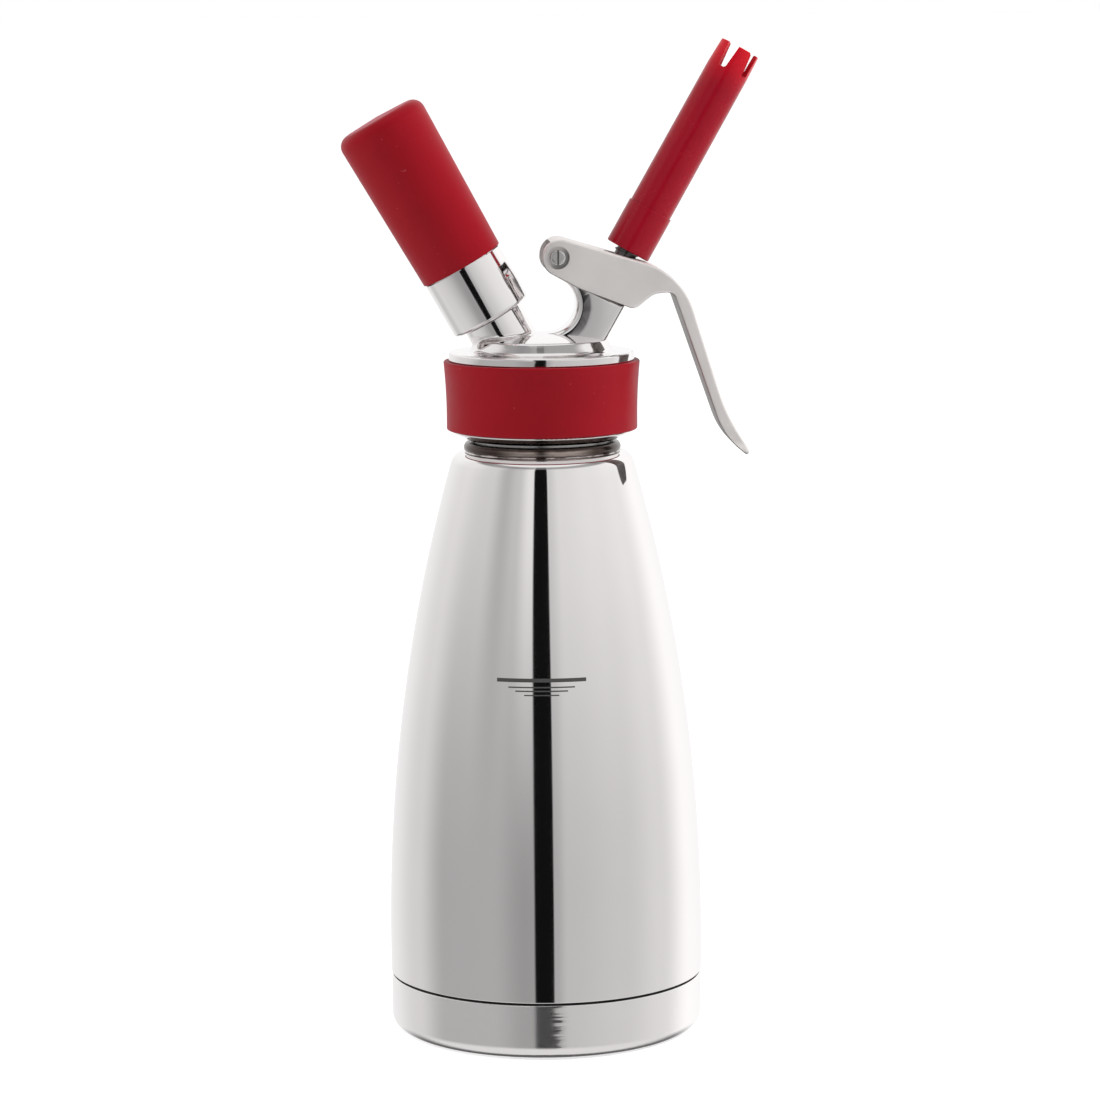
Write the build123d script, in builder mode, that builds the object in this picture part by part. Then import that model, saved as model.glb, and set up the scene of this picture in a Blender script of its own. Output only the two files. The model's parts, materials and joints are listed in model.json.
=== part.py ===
"""Whipping siphon: a double-walled bottle with a screwed head, a lever valve,
a screwed charger holder and a screwed decorator tip.

Millimetres. The origin is on the resting plane under the bottle's axis, +Z is up,
+X points to the lever and -X to the charger holder.
"""
from build123d import *
from math import cos, hypot, radians, sin, sqrt
import os

# Clearances
WELD_GAP = 0.05
SLIP_GAP = 0.1
RUNNING_GAP = 0.3
THREAD_GAP = 0.4
PIN_GAP = 0.05

# Thread ridges: widths as shares of the pitch, depth sunk into the wall
RIDGE_FOOT_SHARE = 0.46
RIDGE_CREST_SHARE = 0.22
RIDGE_SINK = 0.4

# Bottle
BODY_RADIUS = 51.5
BODY_STRAIGHT_TOP = 31.5
SHELL_WALL = 1.0
SHOULDER_HEIGHT = 191.0
SHOULDER_ROUND = 5.0
NECK_FILLET = 1.5
NECK_HEIGHT = 22.9
NECK_BEAD = 2.0
BEAD_ROUND_SHARE = 0.49
VACUUM_GAP = 9.0
VESSEL_WALL = 1.2
VESSEL_FLOOR = 14.0
VESSEL_CORNER = 10.0
MOUTH_RADIUS = 19.4
RIM_FLANGE = 1.0
RING_WALL = 1.3
RING_SKIRT_STEP = 0.6
RING_SKIRT_DEPTH = 6.0
VACUUM_PLATE_THICKNESS = 1.2
VACUUM_PLATE_FLANGE = 4.0

# Base cup
BASE_INSET = 0.3
SEAM_HEIGHT = 18.0
SEAM_GAP = 0.8
CUP_WALL = 1.2
CUP_EDGE_ROUND = 4.5
SKIRT_LENGTH = 10.0
FOOT_WIDTH = 8.0
FOOT_RECESS = 2.0

# Neck thread
NECK_PITCH = 4.0
NECK_TURNS = 2.0
NECK_THREAD_DEPTH = 1.0
NECK_THREAD_DROP = 4.5

# Head
GASKET_THICKNESS = 2.0
GASKET_WIDTH = 2.4
LIP_GAP = 4.0
LIP_HEIGHT = 3.0
LIP_EDGE = 1.1
SKIRT_WALL = 5.2
GRIP_THICKNESS = 2.4
GRIP_FLARE = 0.95
GRIP_FLARE_FOOT = 12.0
GRIP_FLARE_ROUND = 180.0
GRIP_EDGE_ROUND = 0.5
LIP_INSET = 0.5
DISC_INSET = 1.75
DISC_THICKNESS = 2.9
DISC_EDGE_ROUND = 0.8
ROOF_THICKNESS = 7.5
DOME_RADIUS = 21.4
DOME_HEIGHT = 3.9
DOME_CROWN = 2.1
DOME_CROWN_ROUND = 90.0
DOME_FOOT_FILLET = 2.2
DOME_EDGE_ROUND = 1.2

# Valve tower, leaning to +X
LEAN = 29.5
VALVE_OFFSET = 10.0
TOWER_HALF_WIDTH = 7.5
TOWER_TOP = 21.4
TOWER_EDGE_ROUND = 2.2
NECK_HOLLOW_RADIUS = 9.2
NECK_HOLLOW_CENTRE = (1.9, 15.3)
EAR_RADIUS = 3.7
PIVOT_ARM = 19.56
PIVOT_RISE = 24.3

# Lever
LEVER_HALF_WIDTH = 10.4
CHEEK_WALL = 2.2
WEB_WALL = 2.0
LEVER_EDGE_ROUND = 0.8
CHANNEL_END = 30.0
SPOT_FACE_RADIUS = 3.6
SPOT_FACE_DEPTH = 1.0
BLADE_TIP_HALF_WIDTH = 8.6
BLADE_TIP_ROUND = 6.0
NOSE_RADIUS = 2.0
NOSE_RISE = 6.6
STEM_SLOT_GAP = 0.6
STEM_SLOT_TRAVEL = 2.2
# Side outline about the pivot: along X, along Z, corner radius
LEVER_OUTLINE = [
    (-3.95, 7.55, 5.6),
    (40.15, -5.6, 23.0),
    (54.45, -51.0, 60.0),
    (62.55, -64.0, 1.0),
    (61.85, -65.6, 0.7),
    (53.55, -58.5, 25.0),
    (37.35, -11.5, 3.0),
    (31.05, -12.0, 6.0),
    (24.65, -17.0, 3.0),
    (6.95, -10.2, 20.0),
    (-5.3, -3.6, 5.6),
]

# Pivot screw and its sleeve nut
PIVOT_RADIUS = 2.0
PIVOT_SCREW_RADIUS = 1.2
PIVOT_HEAD_RADIUS = 2.4
PIVOT_HEAD_HEIGHT = 1.7
PIVOT_SLOT_WIDTH = 0.6
PIVOT_SLOT_DEPTH = 0.8

# Dispensing valve, measured along the tower from the disc's top
STEM_RADIUS = 3.3
STEM_BORE = 1.9
STEM_THREAD_ROOT = 3.5
STEM_THREAD_DEPTH = 0.5
STEM_PITCH = 2.0
STEM_THREAD_TURNS = 6.0
STEM_HOLE_RADIUS = 1.3
COLLAR_RADIUS = 7.4
COLLAR_THICKNESS = 2.4
COLLAR_EDGE = 0.4
SPRING_WIRE = 0.9
SPRING_TURNS = 5.0
SPRING_CLEARANCE = 0.25
BUSH_WALL = 1.1
BUSH_LENGTH = 6.0
O_RING_SECTION = 1.6
VALVE_SEAT_DEPTH = 11.5
VALVE_SEAT_RADIUS = 6.0
VALVE_CHAMBER_RADIUS = 4.2
VALVE_CHAMBER_DEPTH = 6.5
VALVE_GASKET_RADIUS = 5.2
VALVE_GASKET_THICKNESS = 1.8
GASKET_EDGE = 0.3
RETAINER_RADIUS = 4.4
RETAINER_THICKNESS = 2.6

# Decorator tip, measured along the tower from the disc's top
TIP_BASE = 37.0
TIP_COLLAR_RADIUS = 7.55
TIP_COLLAR_LENGTH = 15.3
TIP_STEP = 0.4
TIP_NOTCH_RADIUS = 7.0
TIP_BODY_LENGTH = 66.5
TIP_PRONG_LENGTH = 8.1
TIP_TOP_RADIUS = 6.75
TIP_WALL = 1.5
TIP_PRONGS = 5
TIP_PRONG_TURN = 10.0
TIP_NOTCH_FOOT = 2.4
TIP_NOTCH_WIDTH = 4.0
TIP_NOTCH_ROUND = 0.9
INSERT_GAP = 0.25
INSERT_WALL = 1.2
INSERT_LENGTH = 11.0
INSERT_INSET = 0.6

# Charger and its holder, leaning to -X, measured from the disc's top
CHARGER_OFFSET = 9.7
CHARGER_RADIUS = 9.0
CHARGER_LENGTH = 65.0
CHARGER_NECK_RADIUS = 4.4
CHARGER_NECK_LENGTH = 7.5
CHARGER_SHOULDER = 9.0
CHARGER_WALL = 1.6
CHARGER_GAP = 0.4
PIERCED_HOLE = 1.3
BOSS_RADIUS = 10.0
BOSS_TOP = 12.6
BOSS_FOOT_FILLET = 1.6
SPIGOT_ROOT = 9.2
SPIGOT_LENGTH = 13.4
SPIGOT_WALL = 1.95
SPIGOT_PITCH = 2.5
SPIGOT_TURNS = 3.0
SPIGOT_THREAD_DEPTH = 0.7
CHARGER_SEAL_THICKNESS = 1.5
COLLAR_OUTER = 13.6
COLLAR_LENGTH = 19.1
COLLAR_EDGE_ROUND = 1.2
HOLDER_CORE_WALL = 2.4
HOLDER_END_WALL = 3.0
SLEEVE_FOOT_RADIUS = 14.0
SLEEVE_TOP_RADIUS = 15.25
SLEEVE_END_WALL = 4.0
SLEEVE_END_ROUND = 4.0
SLEEVE_CROWN = 0.8

# Piercing pin and check valve
PIN_RADIUS = 3.0
PIN_LENGTH = 8.5
NEEDLE_RADIUS = 0.9
NEEDLE_LENGTH = 3.6
GAS_BORE = 0.5
BALL_RADIUS = 2.0
BALL_BORE_GAP = 0.5
SEAT_RADIUS = 1.2
SEAT_DROP = 12.3
CHECK_SPRING_LENGTH = 2.0
CHECK_SPRING_WIRE = 0.4
CHECK_SPRING_TURNS = 2.0
GAS_SCREW_RADIUS = 3.4
GAS_SCREW_LENGTH = 2.6
GAS_SCREW_SLOT = 0.8

# Levels worked out from the sizes above
rim_height = SHOULDER_HEIGHT + NECK_HEIGHT
ceiling = rim_height + GASKET_THICKNESS + SLIP_GAP
disc_top = ceiling + ROOF_THICKNESS
grip_top = disc_top - DISC_THICKNESS
lip_bottom = SHOULDER_HEIGHT + LIP_GAP
grip_bottom = lip_bottom + LIP_HEIGHT
shell_neck_top = lip_bottom - 2 * THREAD_GAP
seam_top = SEAM_HEIGHT + SEAM_GAP
skirt_bottom = SEAM_HEIGHT - SKIRT_LENGTH
dome_edge_height = disc_top + DOME_HEIGHT

# Radii worked out from the sizes above
vessel_neck = MOUTH_RADIUS + VESSEL_WALL
ring_bore = vessel_neck + WELD_GAP
neck_root = ring_bore + RING_WALL
neck_crest = neck_root + NECK_THREAD_DEPTH
ring_skirt = neck_root + RING_SKIRT_STEP
shell_neck = ring_skirt + WELD_GAP + SHELL_WALL
shoulder_x = shell_neck + NECK_FILLET
base_radius = BODY_RADIUS - BASE_INSET
skirt_radius = base_radius - CUP_WALL - SLIP_GAP
head_bore = neck_crest + THREAD_GAP
skirt_outer = head_bore + SKIRT_WALL
grip_inner = skirt_outer + SLIP_GAP
grip_foot = grip_inner + GRIP_THICKNESS
grip_head = grip_foot + GRIP_FLARE
disc_radius = grip_head - DISC_INSET

# The taper's arc is tangent to the straight wall and to the shoulder's round
taper_reach = BODY_RADIUS - shoulder_x
taper_rise = SHOULDER_HEIGHT - SHOULDER_ROUND - BODY_STRAIGHT_TOP
taper_radius = (taper_reach**2 + taper_rise**2 - SHOULDER_ROUND**2) / (2 * (taper_reach - SHOULDER_ROUND))
taper_centre = (BODY_RADIUS - taper_radius, BODY_STRAIGHT_TOP)

# Side planes: the first axis runs outward, the second along the axis of turning
lean_sin = sin(radians(LEAN))
lean_cos = cos(radians(LEAN))
BOTTLE_SIDE = Plane.XZ
VALVE_SIDE = Plane((VALVE_OFFSET, 0, disc_top), (lean_cos, 0, -lean_sin), (0, -1, 0))
CHARGER_SIDE = Plane((-CHARGER_OFFSET, 0, disc_top), (lean_cos, 0, lean_sin), (0, -1, 0))


def turning_axis(side):
    """The axis that a half section on this side plane turns about."""
    return Axis(side.origin, side.y_dir)


def across(side, distance):
    """The plane square to a side plane's axis, at a distance along it."""
    return Plane(side.origin + side.y_dir * distance, side.x_dir, side.y_dir)


def side_point(side, outward, along):
    """A point of a side plane as X and Z of the bottle's own side plane."""
    point = side.origin + side.x_dir * outward + side.y_dir * along
    return (point.X, point.Z)


def half_section(side, corners):
    """A closed half section from corners of radius, height and an optional round."""
    points = [corner[:2] for corner in corners]
    rounds = [corner[2] if len(corner) > 2 else 0 for corner in corners]
    with BuildSketch(side) as section:
        with BuildLine():
            FilletPolyline(*points, radius=rounds, close=True)
        make_face()
    return section.sketch


def ring_section(side, inner, outer, bottom, top, edge=0):
    """The half section of a plain ring, with its outer edges rounded if asked."""
    return half_section(side, [(inner, bottom), (outer, bottom, edge), (outer, top, edge), (inner, top)])


def thread_ridge(plane, root, crest, pitch, turns):
    """A tapered ridge that winds about a plane's normal, sunk a little into its wall."""
    depth = crest - root
    foot = -RIDGE_SINK * depth
    half_foot = RIDGE_FOOT_SHARE * pitch / 2
    half_crest = RIDGE_CREST_SHARE * pitch / 2
    with BuildPart() as ridge:
        with BuildLine() as path:
            Helix(pitch, pitch * turns, root)
        with BuildSketch(Plane(path.line @ 0, (1, 0, 0), path.line % 0)):
            with BuildLine():
                Polyline(
                    (foot, -half_foot),
                    (depth, -half_crest),
                    (depth, half_crest),
                    (foot, half_foot),
                    close=True,
                )
            make_face()
        sweep(path=path.line, is_frenet=True)
    return plane * ridge.part


def coil(plane, radius, wire, turns, length):
    """A compression spring between a plane and a length above it."""
    pitch = (length - wire) / turns
    with BuildPart() as spring:
        with BuildLine() as path:
            Helix(pitch, pitch * turns, radius, center=(0, 0, wire / 2))
        with BuildSketch(Plane(path.line @ 0, (1, 0, 0), path.line % 0)):
            Circle(wire / 2)
        sweep(path=path.line, is_frenet=True)
    return plane * spring.part


def shell_section(inset):
    """The space inside the outer shell's wall, or its outer form at no inset."""
    overrun = inset
    reach = hypot(shoulder_x - taper_centre[0], taper_rise)
    taper_end = (
        taper_centre[0] + (taper_radius - inset) * (shoulder_x - taper_centre[0]) / reach,
        taper_centre[1] + (taper_radius - inset) * taper_rise / reach,
    )
    with BuildSketch(BOTTLE_SIDE) as section:
        with BuildLine():
            foot = Polyline(
                (0, shell_neck_top + overrun),
                (0, skirt_bottom - overrun),
                (skirt_radius - inset, skirt_bottom - overrun),
                (skirt_radius - inset, seam_top + inset),
                (BODY_RADIUS - inset, seam_top + inset),
                (BODY_RADIUS - inset, BODY_STRAIGHT_TOP),
            )
            taper = TangentArc(foot @ 1, taper_end, tangent=(0, 1))
            shoulder = TangentArc(taper @ 1, (shoulder_x, SHOULDER_HEIGHT - inset), tangent=taper % 1)
            hollow = TangentArc(
                shoulder @ 1, (shell_neck - inset, SHOULDER_HEIGHT + NECK_FILLET), tangent=(-1, 0)
            )
            Polyline(hollow @ 1, (shell_neck - inset, shell_neck_top + overrun), foot @ 0)
        make_face()
    return section.sketch


def vessel_section(inset):
    """The space inside the inner vessel's wall, or its outer form at no inset."""
    inward = SHELL_WALL + VACUUM_GAP + inset
    radius = BODY_RADIUS - inward
    neck = vessel_neck - inset
    corner = VESSEL_CORNER - inset
    floor = VESSEL_FLOOR + inset
    neck_start = BODY_STRAIGHT_TOP + sqrt((taper_radius - inward) ** 2 - (neck - taper_centre[0]) ** 2)
    with BuildSketch(BOTTLE_SIDE) as section:
        with BuildLine():
            bottom = Polyline((0, rim_height + inset), (0, floor), (radius - corner, floor))
            bend = TangentArc(bottom @ 1, (radius, floor + corner), tangent=(1, 0))
            wall = Line(bend @ 1, (radius, BODY_STRAIGHT_TOP))
            taper = TangentArc(wall @ 1, (neck, neck_start), tangent=(0, 1))
            Polyline(taper @ 1, (neck, rim_height + inset), bottom @ 0)
        make_face()
    return section.sketch


os.makedirs("parts", exist_ok=True)


def save(piece, label):
    """Name a finished piece and write it out."""
    piece.part.label = label
    export_step(piece.part, f"parts/{label}.step")


# Bottle: outer shell with a stepped skirt that the base cup slips over, and a bead under the head
bead_foot = SHOULDER_HEIGHT - SHELL_WALL / 2
bead_round = (shell_neck_top - bead_foot) * BEAD_ROUND_SHARE
bead_outline = [
    (shell_neck - SHELL_WALL / 2, bead_foot),
    (shell_neck + NECK_BEAD, bead_foot, bead_round),
    (shell_neck + NECK_BEAD, shell_neck_top, bead_round),
    (shell_neck - SHELL_WALL / 2, shell_neck_top),
]
with BuildPart() as outer_shell:
    revolve(shell_section(0), Axis.Z)
    revolve(half_section(BOTTLE_SIDE, bead_outline), Axis.Z)
    revolve(shell_section(SHELL_WALL), Axis.Z, mode=Mode.SUBTRACT)
save(outer_shell, "outer_shell")

# Bottle: inner vessel with a flange rolled over the neck ring
with BuildPart() as inner_vessel:
    revolve(vessel_section(0), Axis.Z)
    flange = [
        (0, rim_height - RIM_FLANGE),
        (neck_root, rim_height - RIM_FLANGE),
        (neck_root, rim_height, RIM_FLANGE / 2),
        (0, rim_height),
    ]
    revolve(half_section(BOTTLE_SIDE, flange), Axis.Z)
    revolve(vessel_section(VESSEL_WALL), Axis.Z, mode=Mode.SUBTRACT)
save(inner_vessel, "inner_vessel")

# Bottle: threaded ring that joins the two walls at the neck
neck_ring_top = rim_height - RIM_FLANGE - WELD_GAP
neck_thread_top = neck_ring_top - NECK_THREAD_DROP
neck_thread_start = neck_thread_top - NECK_PITCH * NECK_TURNS
neck_thread = thread_ridge(
    Plane.XY.offset(neck_thread_start), neck_root, neck_crest, NECK_PITCH, NECK_TURNS
)
with BuildPart() as neck_ring:
    ring_outline = [
        (ring_bore, shell_neck_top - RING_SKIRT_DEPTH),
        (ring_skirt, shell_neck_top - RING_SKIRT_DEPTH),
        (ring_skirt, shell_neck_top),
        (neck_root, shell_neck_top),
        (neck_root, neck_ring_top),
        (ring_bore, neck_ring_top),
    ]
    revolve(half_section(BOTTLE_SIDE, ring_outline), Axis.Z)
    add(neck_thread)
save(neck_ring, "neck_ring")

# Bottle: plate that closes the vacuum space below
plate_radius = skirt_radius - SHELL_WALL - WELD_GAP
with BuildPart() as vacuum_plate:
    plate_outline = [
        (0, skirt_bottom),
        (plate_radius, skirt_bottom, VACUUM_PLATE_THICKNESS),
        (plate_radius, skirt_bottom + VACUUM_PLATE_FLANGE),
        (plate_radius - VACUUM_PLATE_THICKNESS, skirt_bottom + VACUUM_PLATE_FLANGE),
        (plate_radius - VACUUM_PLATE_THICKNESS, skirt_bottom + VACUUM_PLATE_THICKNESS),
        (0, skirt_bottom + VACUUM_PLATE_THICKNESS),
    ]
    revolve(half_section(BOTTLE_SIDE, plate_outline), Axis.Z)
save(vacuum_plate, "vacuum_plate")

# Base cup with a flat foot ring round a raised middle
cup_bore = base_radius - CUP_WALL
foot_outer = base_radius - CUP_EDGE_ROUND
foot_inner = foot_outer - FOOT_WIDTH
with BuildPart() as base_cup:
    cup_outline = [
        (0, FOOT_RECESS),
        (foot_inner - FOOT_RECESS, FOOT_RECESS),
        (foot_inner, 0),
        (base_radius, 0, CUP_EDGE_ROUND),
        (base_radius, SEAM_HEIGHT),
        (cup_bore, SEAM_HEIGHT),
        (cup_bore, CUP_WALL, CUP_EDGE_ROUND - CUP_WALL),
        (foot_inner, CUP_WALL),
        (foot_inner - FOOT_RECESS, FOOT_RECESS + CUP_WALL),
        (0, FOOT_RECESS + CUP_WALL),
    ]
    revolve(half_section(BOTTLE_SIDE, cup_outline), Axis.Z)
save(base_cup, "base_cup")

# Head gasket, pressed between the bottle's rim and the head's ceiling
with BuildPart() as head_gasket:
    gasket_ring = ring_section(
        BOTTLE_SIDE,
        MOUTH_RADIUS,
        MOUTH_RADIUS + GASKET_WIDTH,
        rim_height + WELD_GAP,
        rim_height + WELD_GAP + GASKET_THICKNESS,
    )
    revolve(gasket_ring, Axis.Z)
save(head_gasket, "head_gasket")

# Places along the valve axis and the charger axis
pivot = side_point(VALVE_SIDE, -PIVOT_ARM, PIVOT_RISE)
nose_bottom = PIVOT_RISE + NOSE_RISE - NOSE_RADIUS
collar_top = nose_bottom - RUNNING_GAP
collar_bottom = collar_top - COLLAR_THICKNESS
collar_room = COLLAR_RADIUS + RUNNING_GAP
spring_radius = STEM_RADIUS + SPRING_CLEARANCE + SPRING_WIRE / 2
spring_bore = spring_radius + SPRING_WIRE / 2 + SPRING_CLEARANCE
bush_bore = STEM_RADIUS + SLIP_GAP
o_ring_bore = STEM_RADIUS + WELD_GAP
o_ring_seat = o_ring_bore + O_RING_SECTION + WELD_GAP
chamber_top = -VALVE_SEAT_DEPTH + VALVE_CHAMBER_DEPTH
o_ring_bottom = chamber_top + BUSH_WALL
bush_bottom = o_ring_bottom + O_RING_SECTION + 2 * WELD_GAP
bush_top = bush_bottom + BUSH_LENGTH

collar_foot = BOSS_TOP + RUNNING_GAP
spigot_top = BOSS_TOP + SPIGOT_LENGTH
spigot_crest = SPIGOT_ROOT + SPIGOT_THREAD_DEPTH
spigot_bore = SPIGOT_ROOT - SPIGOT_WALL
holder_thread_bore = spigot_crest + THREAD_GAP
seal_floor = BOSS_TOP
charger_nose = seal_floor + CHARGER_SEAL_THICKNESS + 2 * WELD_GAP
charger_end = charger_nose + CHARGER_LENGTH
pin_bottom = BOSS_TOP - PIN_LENGTH
seat_height = BOSS_TOP - SEAT_DROP
ball_centre = seat_height - sqrt(BALL_RADIUS**2 - SEAT_RADIUS**2) - WELD_GAP
ball_bore = BALL_RADIUS + BALL_BORE_GAP
gas_screw_top = ball_centre - BALL_RADIUS - CHECK_SPRING_LENGTH - WELD_GAP
gas_screw_bottom = gas_screw_top - GAS_SCREW_LENGTH

# Threads on the head: inside the skirt and round the charger spigot
head_thread = thread_ridge(
    Plane.XY.offset(neck_thread_start - NECK_PITCH / 2),
    head_bore,
    head_bore - NECK_THREAD_DEPTH,
    NECK_PITCH,
    NECK_TURNS,
)
spigot_thread_start = BOSS_TOP + SPIGOT_PITCH
spigot_thread = thread_ridge(
    across(CHARGER_SIDE, spigot_thread_start), SPIGOT_ROOT, spigot_crest, SPIGOT_PITCH, SPIGOT_TURNS
)


def pivot_disc(level, radius):
    """A disc about the lever's pivot, at a level toward the viewer."""
    with BuildSketch(BOTTLE_SIDE.offset(level)) as disc:
        with Locations(pivot):
            Circle(radius)
    return disc.sketch


# Head casting: skirt, disc, dome, valve tower with the lever's ear, charger boss
hollow_centre = (NECK_HOLLOW_CENTRE[0], disc_top + NECK_HOLLOW_CENTRE[1])
tower_corner = side_point(VALVE_SIDE, -TOWER_HALF_WIDTH, TOWER_TOP)

with BuildPart() as tower:
    with BuildSketch(BOTTLE_SIDE):
        with BuildLine():
            Polyline(
                side_point(VALVE_SIDE, TOWER_HALF_WIDTH, -ROOF_THICKNESS / 2),
                side_point(VALVE_SIDE, TOWER_HALF_WIDTH, TOWER_TOP),
                tower_corner,
                hollow_centre,
                (hollow_centre[0], disc_top - ROOF_THICKNESS / 2),
                close=True,
            )
        make_face()
        with BuildSketch(BOTTLE_SIDE, mode=Mode.ADD):
            with Locations(pivot):
                Circle(EAR_RADIUS)
            with Locations((tower_corner[0], tower_corner[1] - EAR_RADIUS)):
                Circle(EAR_RADIUS)
            make_hull()
        with Locations(hollow_centre):
            Circle(NECK_HOLLOW_RADIUS, mode=Mode.SUBTRACT)
    extrude(amount=TOWER_HALF_WIDTH, both=True)
    fillet(tower.faces().sort_by(Axis.Y)[0].edges(), TOWER_EDGE_ROUND)
    fillet(tower.faces().sort_by(Axis.Y)[-1].edges(), TOWER_EDGE_ROUND)

with BuildPart() as head_casting:
    head_outline = [
        (0, lip_bottom),
        (head_bore + LIP_EDGE, lip_bottom, LIP_EDGE / 3),
        (grip_foot - LIP_INSET, grip_bottom, LIP_EDGE / 3),
        (skirt_outer, grip_bottom),
        (skirt_outer, grip_top),
        (disc_radius, grip_top, DISC_EDGE_ROUND / 2),
        (disc_radius, disc_top, DISC_EDGE_ROUND),
        (DOME_RADIUS + DOME_FOOT_FILLET, disc_top, DOME_FOOT_FILLET),
        (DOME_RADIUS, dome_edge_height, DOME_EDGE_ROUND),
        (DOME_RADIUS / 2, dome_edge_height + DOME_CROWN, DOME_CROWN_ROUND),
        (0, dome_edge_height + DOME_CROWN),
    ]
    revolve(half_section(BOTTLE_SIDE, head_outline), Axis.Z)
    add(tower.part)
    boss_outline = [
        (0, -ROOF_THICKNESS / 2),
        (BOSS_RADIUS, -ROOF_THICKNESS / 2),
        (BOSS_RADIUS, BOSS_TOP, RUNNING_GAP),
        (0, BOSS_TOP),
    ]
    revolve(half_section(CHARGER_SIDE, boss_outline), turning_axis(CHARGER_SIDE))
    fillet(head_casting.edges(Select.NEW), BOSS_FOOT_FILLET)
    spigot_outline = [
        (0, 0),
        (SPIGOT_ROOT, 0),
        (SPIGOT_ROOT, spigot_top, RUNNING_GAP),
        (0, spigot_top),
    ]
    revolve(half_section(CHARGER_SIDE, spigot_outline), turning_axis(CHARGER_SIDE))
    add(spigot_thread)
    # Room inside the skirt, with its thread, and the valve seat left standing in it
    bore_outline = [
        (0, lip_bottom - LIP_HEIGHT),
        (head_bore, lip_bottom - LIP_HEIGHT),
        (head_bore, ceiling),
        (0, ceiling),
    ]
    revolve(half_section(BOTTLE_SIDE, bore_outline), Axis.Z, mode=Mode.SUBTRACT)
    add(head_thread)
    seat_outline = [
        (0, -VALVE_SEAT_DEPTH),
        (VALVE_SEAT_RADIUS, -VALVE_SEAT_DEPTH, RUNNING_GAP),
        (VALVE_SEAT_RADIUS, -ROOF_THICKNESS / 2),
        (0, -ROOF_THICKNESS / 2),
    ]
    revolve(half_section(VALVE_SIDE, seat_outline), turning_axis(VALVE_SIDE))
    # Stepped bore for the valve: chamber, seal seat, guide seat, spring pocket, collar room
    valve_bore = [
        (0, -VALVE_SEAT_DEPTH - VALVE_SEAT_RADIUS),
        (VALVE_CHAMBER_RADIUS, -VALVE_SEAT_DEPTH - VALVE_SEAT_RADIUS),
        (VALVE_CHAMBER_RADIUS, chamber_top),
        (bush_bore, chamber_top),
        (bush_bore, o_ring_bottom),
        (o_ring_seat, o_ring_bottom),
        (o_ring_seat, bush_top),
        (spring_bore, bush_top),
        (spring_bore, TOWER_TOP + SLIP_GAP),
        (collar_room, TOWER_TOP + SLIP_GAP),
        (collar_room, collar_top),
        (0, collar_top),
    ]
    revolve(half_section(VALVE_SIDE, valve_bore), turning_axis(VALVE_SIDE), mode=Mode.SUBTRACT)
    # Stepped bore for the charging side: nose seat, pin, gas way, ball and gas screw
    gas_bore = [
        (0, spigot_top + SPIGOT_WALL),
        (spigot_bore, spigot_top + SPIGOT_WALL),
        (spigot_bore, seal_floor),
        (PIN_RADIUS + WELD_GAP, seal_floor),
        (PIN_RADIUS + WELD_GAP, pin_bottom),
        (SEAT_RADIUS, pin_bottom),
        (SEAT_RADIUS, seat_height),
        (ball_bore, seat_height),
        (ball_bore, gas_screw_top),
        (GAS_SCREW_RADIUS + WELD_GAP, gas_screw_top),
        (GAS_SCREW_RADIUS + WELD_GAP, gas_screw_bottom - ROOF_THICKNESS),
        (0, gas_screw_bottom - ROOF_THICKNESS),
    ]
    revolve(half_section(CHARGER_SIDE, gas_bore), turning_axis(CHARGER_SIDE), mode=Mode.SUBTRACT)
    # Pivot hole through the ear
    extrude(pivot_disc(0, PIVOT_RADIUS + PIN_GAP), amount=LEVER_HALF_WIDTH, both=True, mode=Mode.SUBTRACT)
save(head_casting, "head_casting")

# Silicone grip ring round the skirt
with BuildPart() as head_grip_ring:
    grip_outline = [
        (grip_inner, grip_bottom + SLIP_GAP),
        (grip_foot, grip_bottom + SLIP_GAP, GRIP_EDGE_ROUND),
        (grip_foot, grip_bottom + GRIP_FLARE_FOOT, GRIP_FLARE_ROUND),
        (grip_head, grip_top - SLIP_GAP, GRIP_EDGE_ROUND),
        (grip_inner, grip_top - SLIP_GAP),
    ]
    revolve(half_section(BOTTLE_SIDE, grip_outline), Axis.Z)
save(head_grip_ring, "head_grip_ring")

# Guide bush and the O-ring under it
with BuildPart() as guide_bush:
    bush_ring = ring_section(VALVE_SIDE, bush_bore, o_ring_seat - WELD_GAP, bush_bottom, bush_top)
    revolve(bush_ring, turning_axis(VALVE_SIDE))
save(guide_bush, "guide_bush")

o_ring_plane = across(VALVE_SIDE, o_ring_bottom + WELD_GAP + O_RING_SECTION / 2)
with BuildPart(o_ring_plane) as stem_o_ring:
    Torus(o_ring_bore + O_RING_SECTION / 2, O_RING_SECTION / 2)
save(stem_o_ring, "stem_o_ring")

# Return spring between the guide bush and the thrust collar
with BuildPart() as valve_spring:
    add(
        coil(
            across(VALVE_SIDE, bush_top + WELD_GAP),
            spring_radius,
            SPRING_WIRE,
            SPRING_TURNS,
            collar_bottom - bush_top - 2 * WELD_GAP,
        )
    )
save(valve_spring, "valve_spring")

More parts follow.
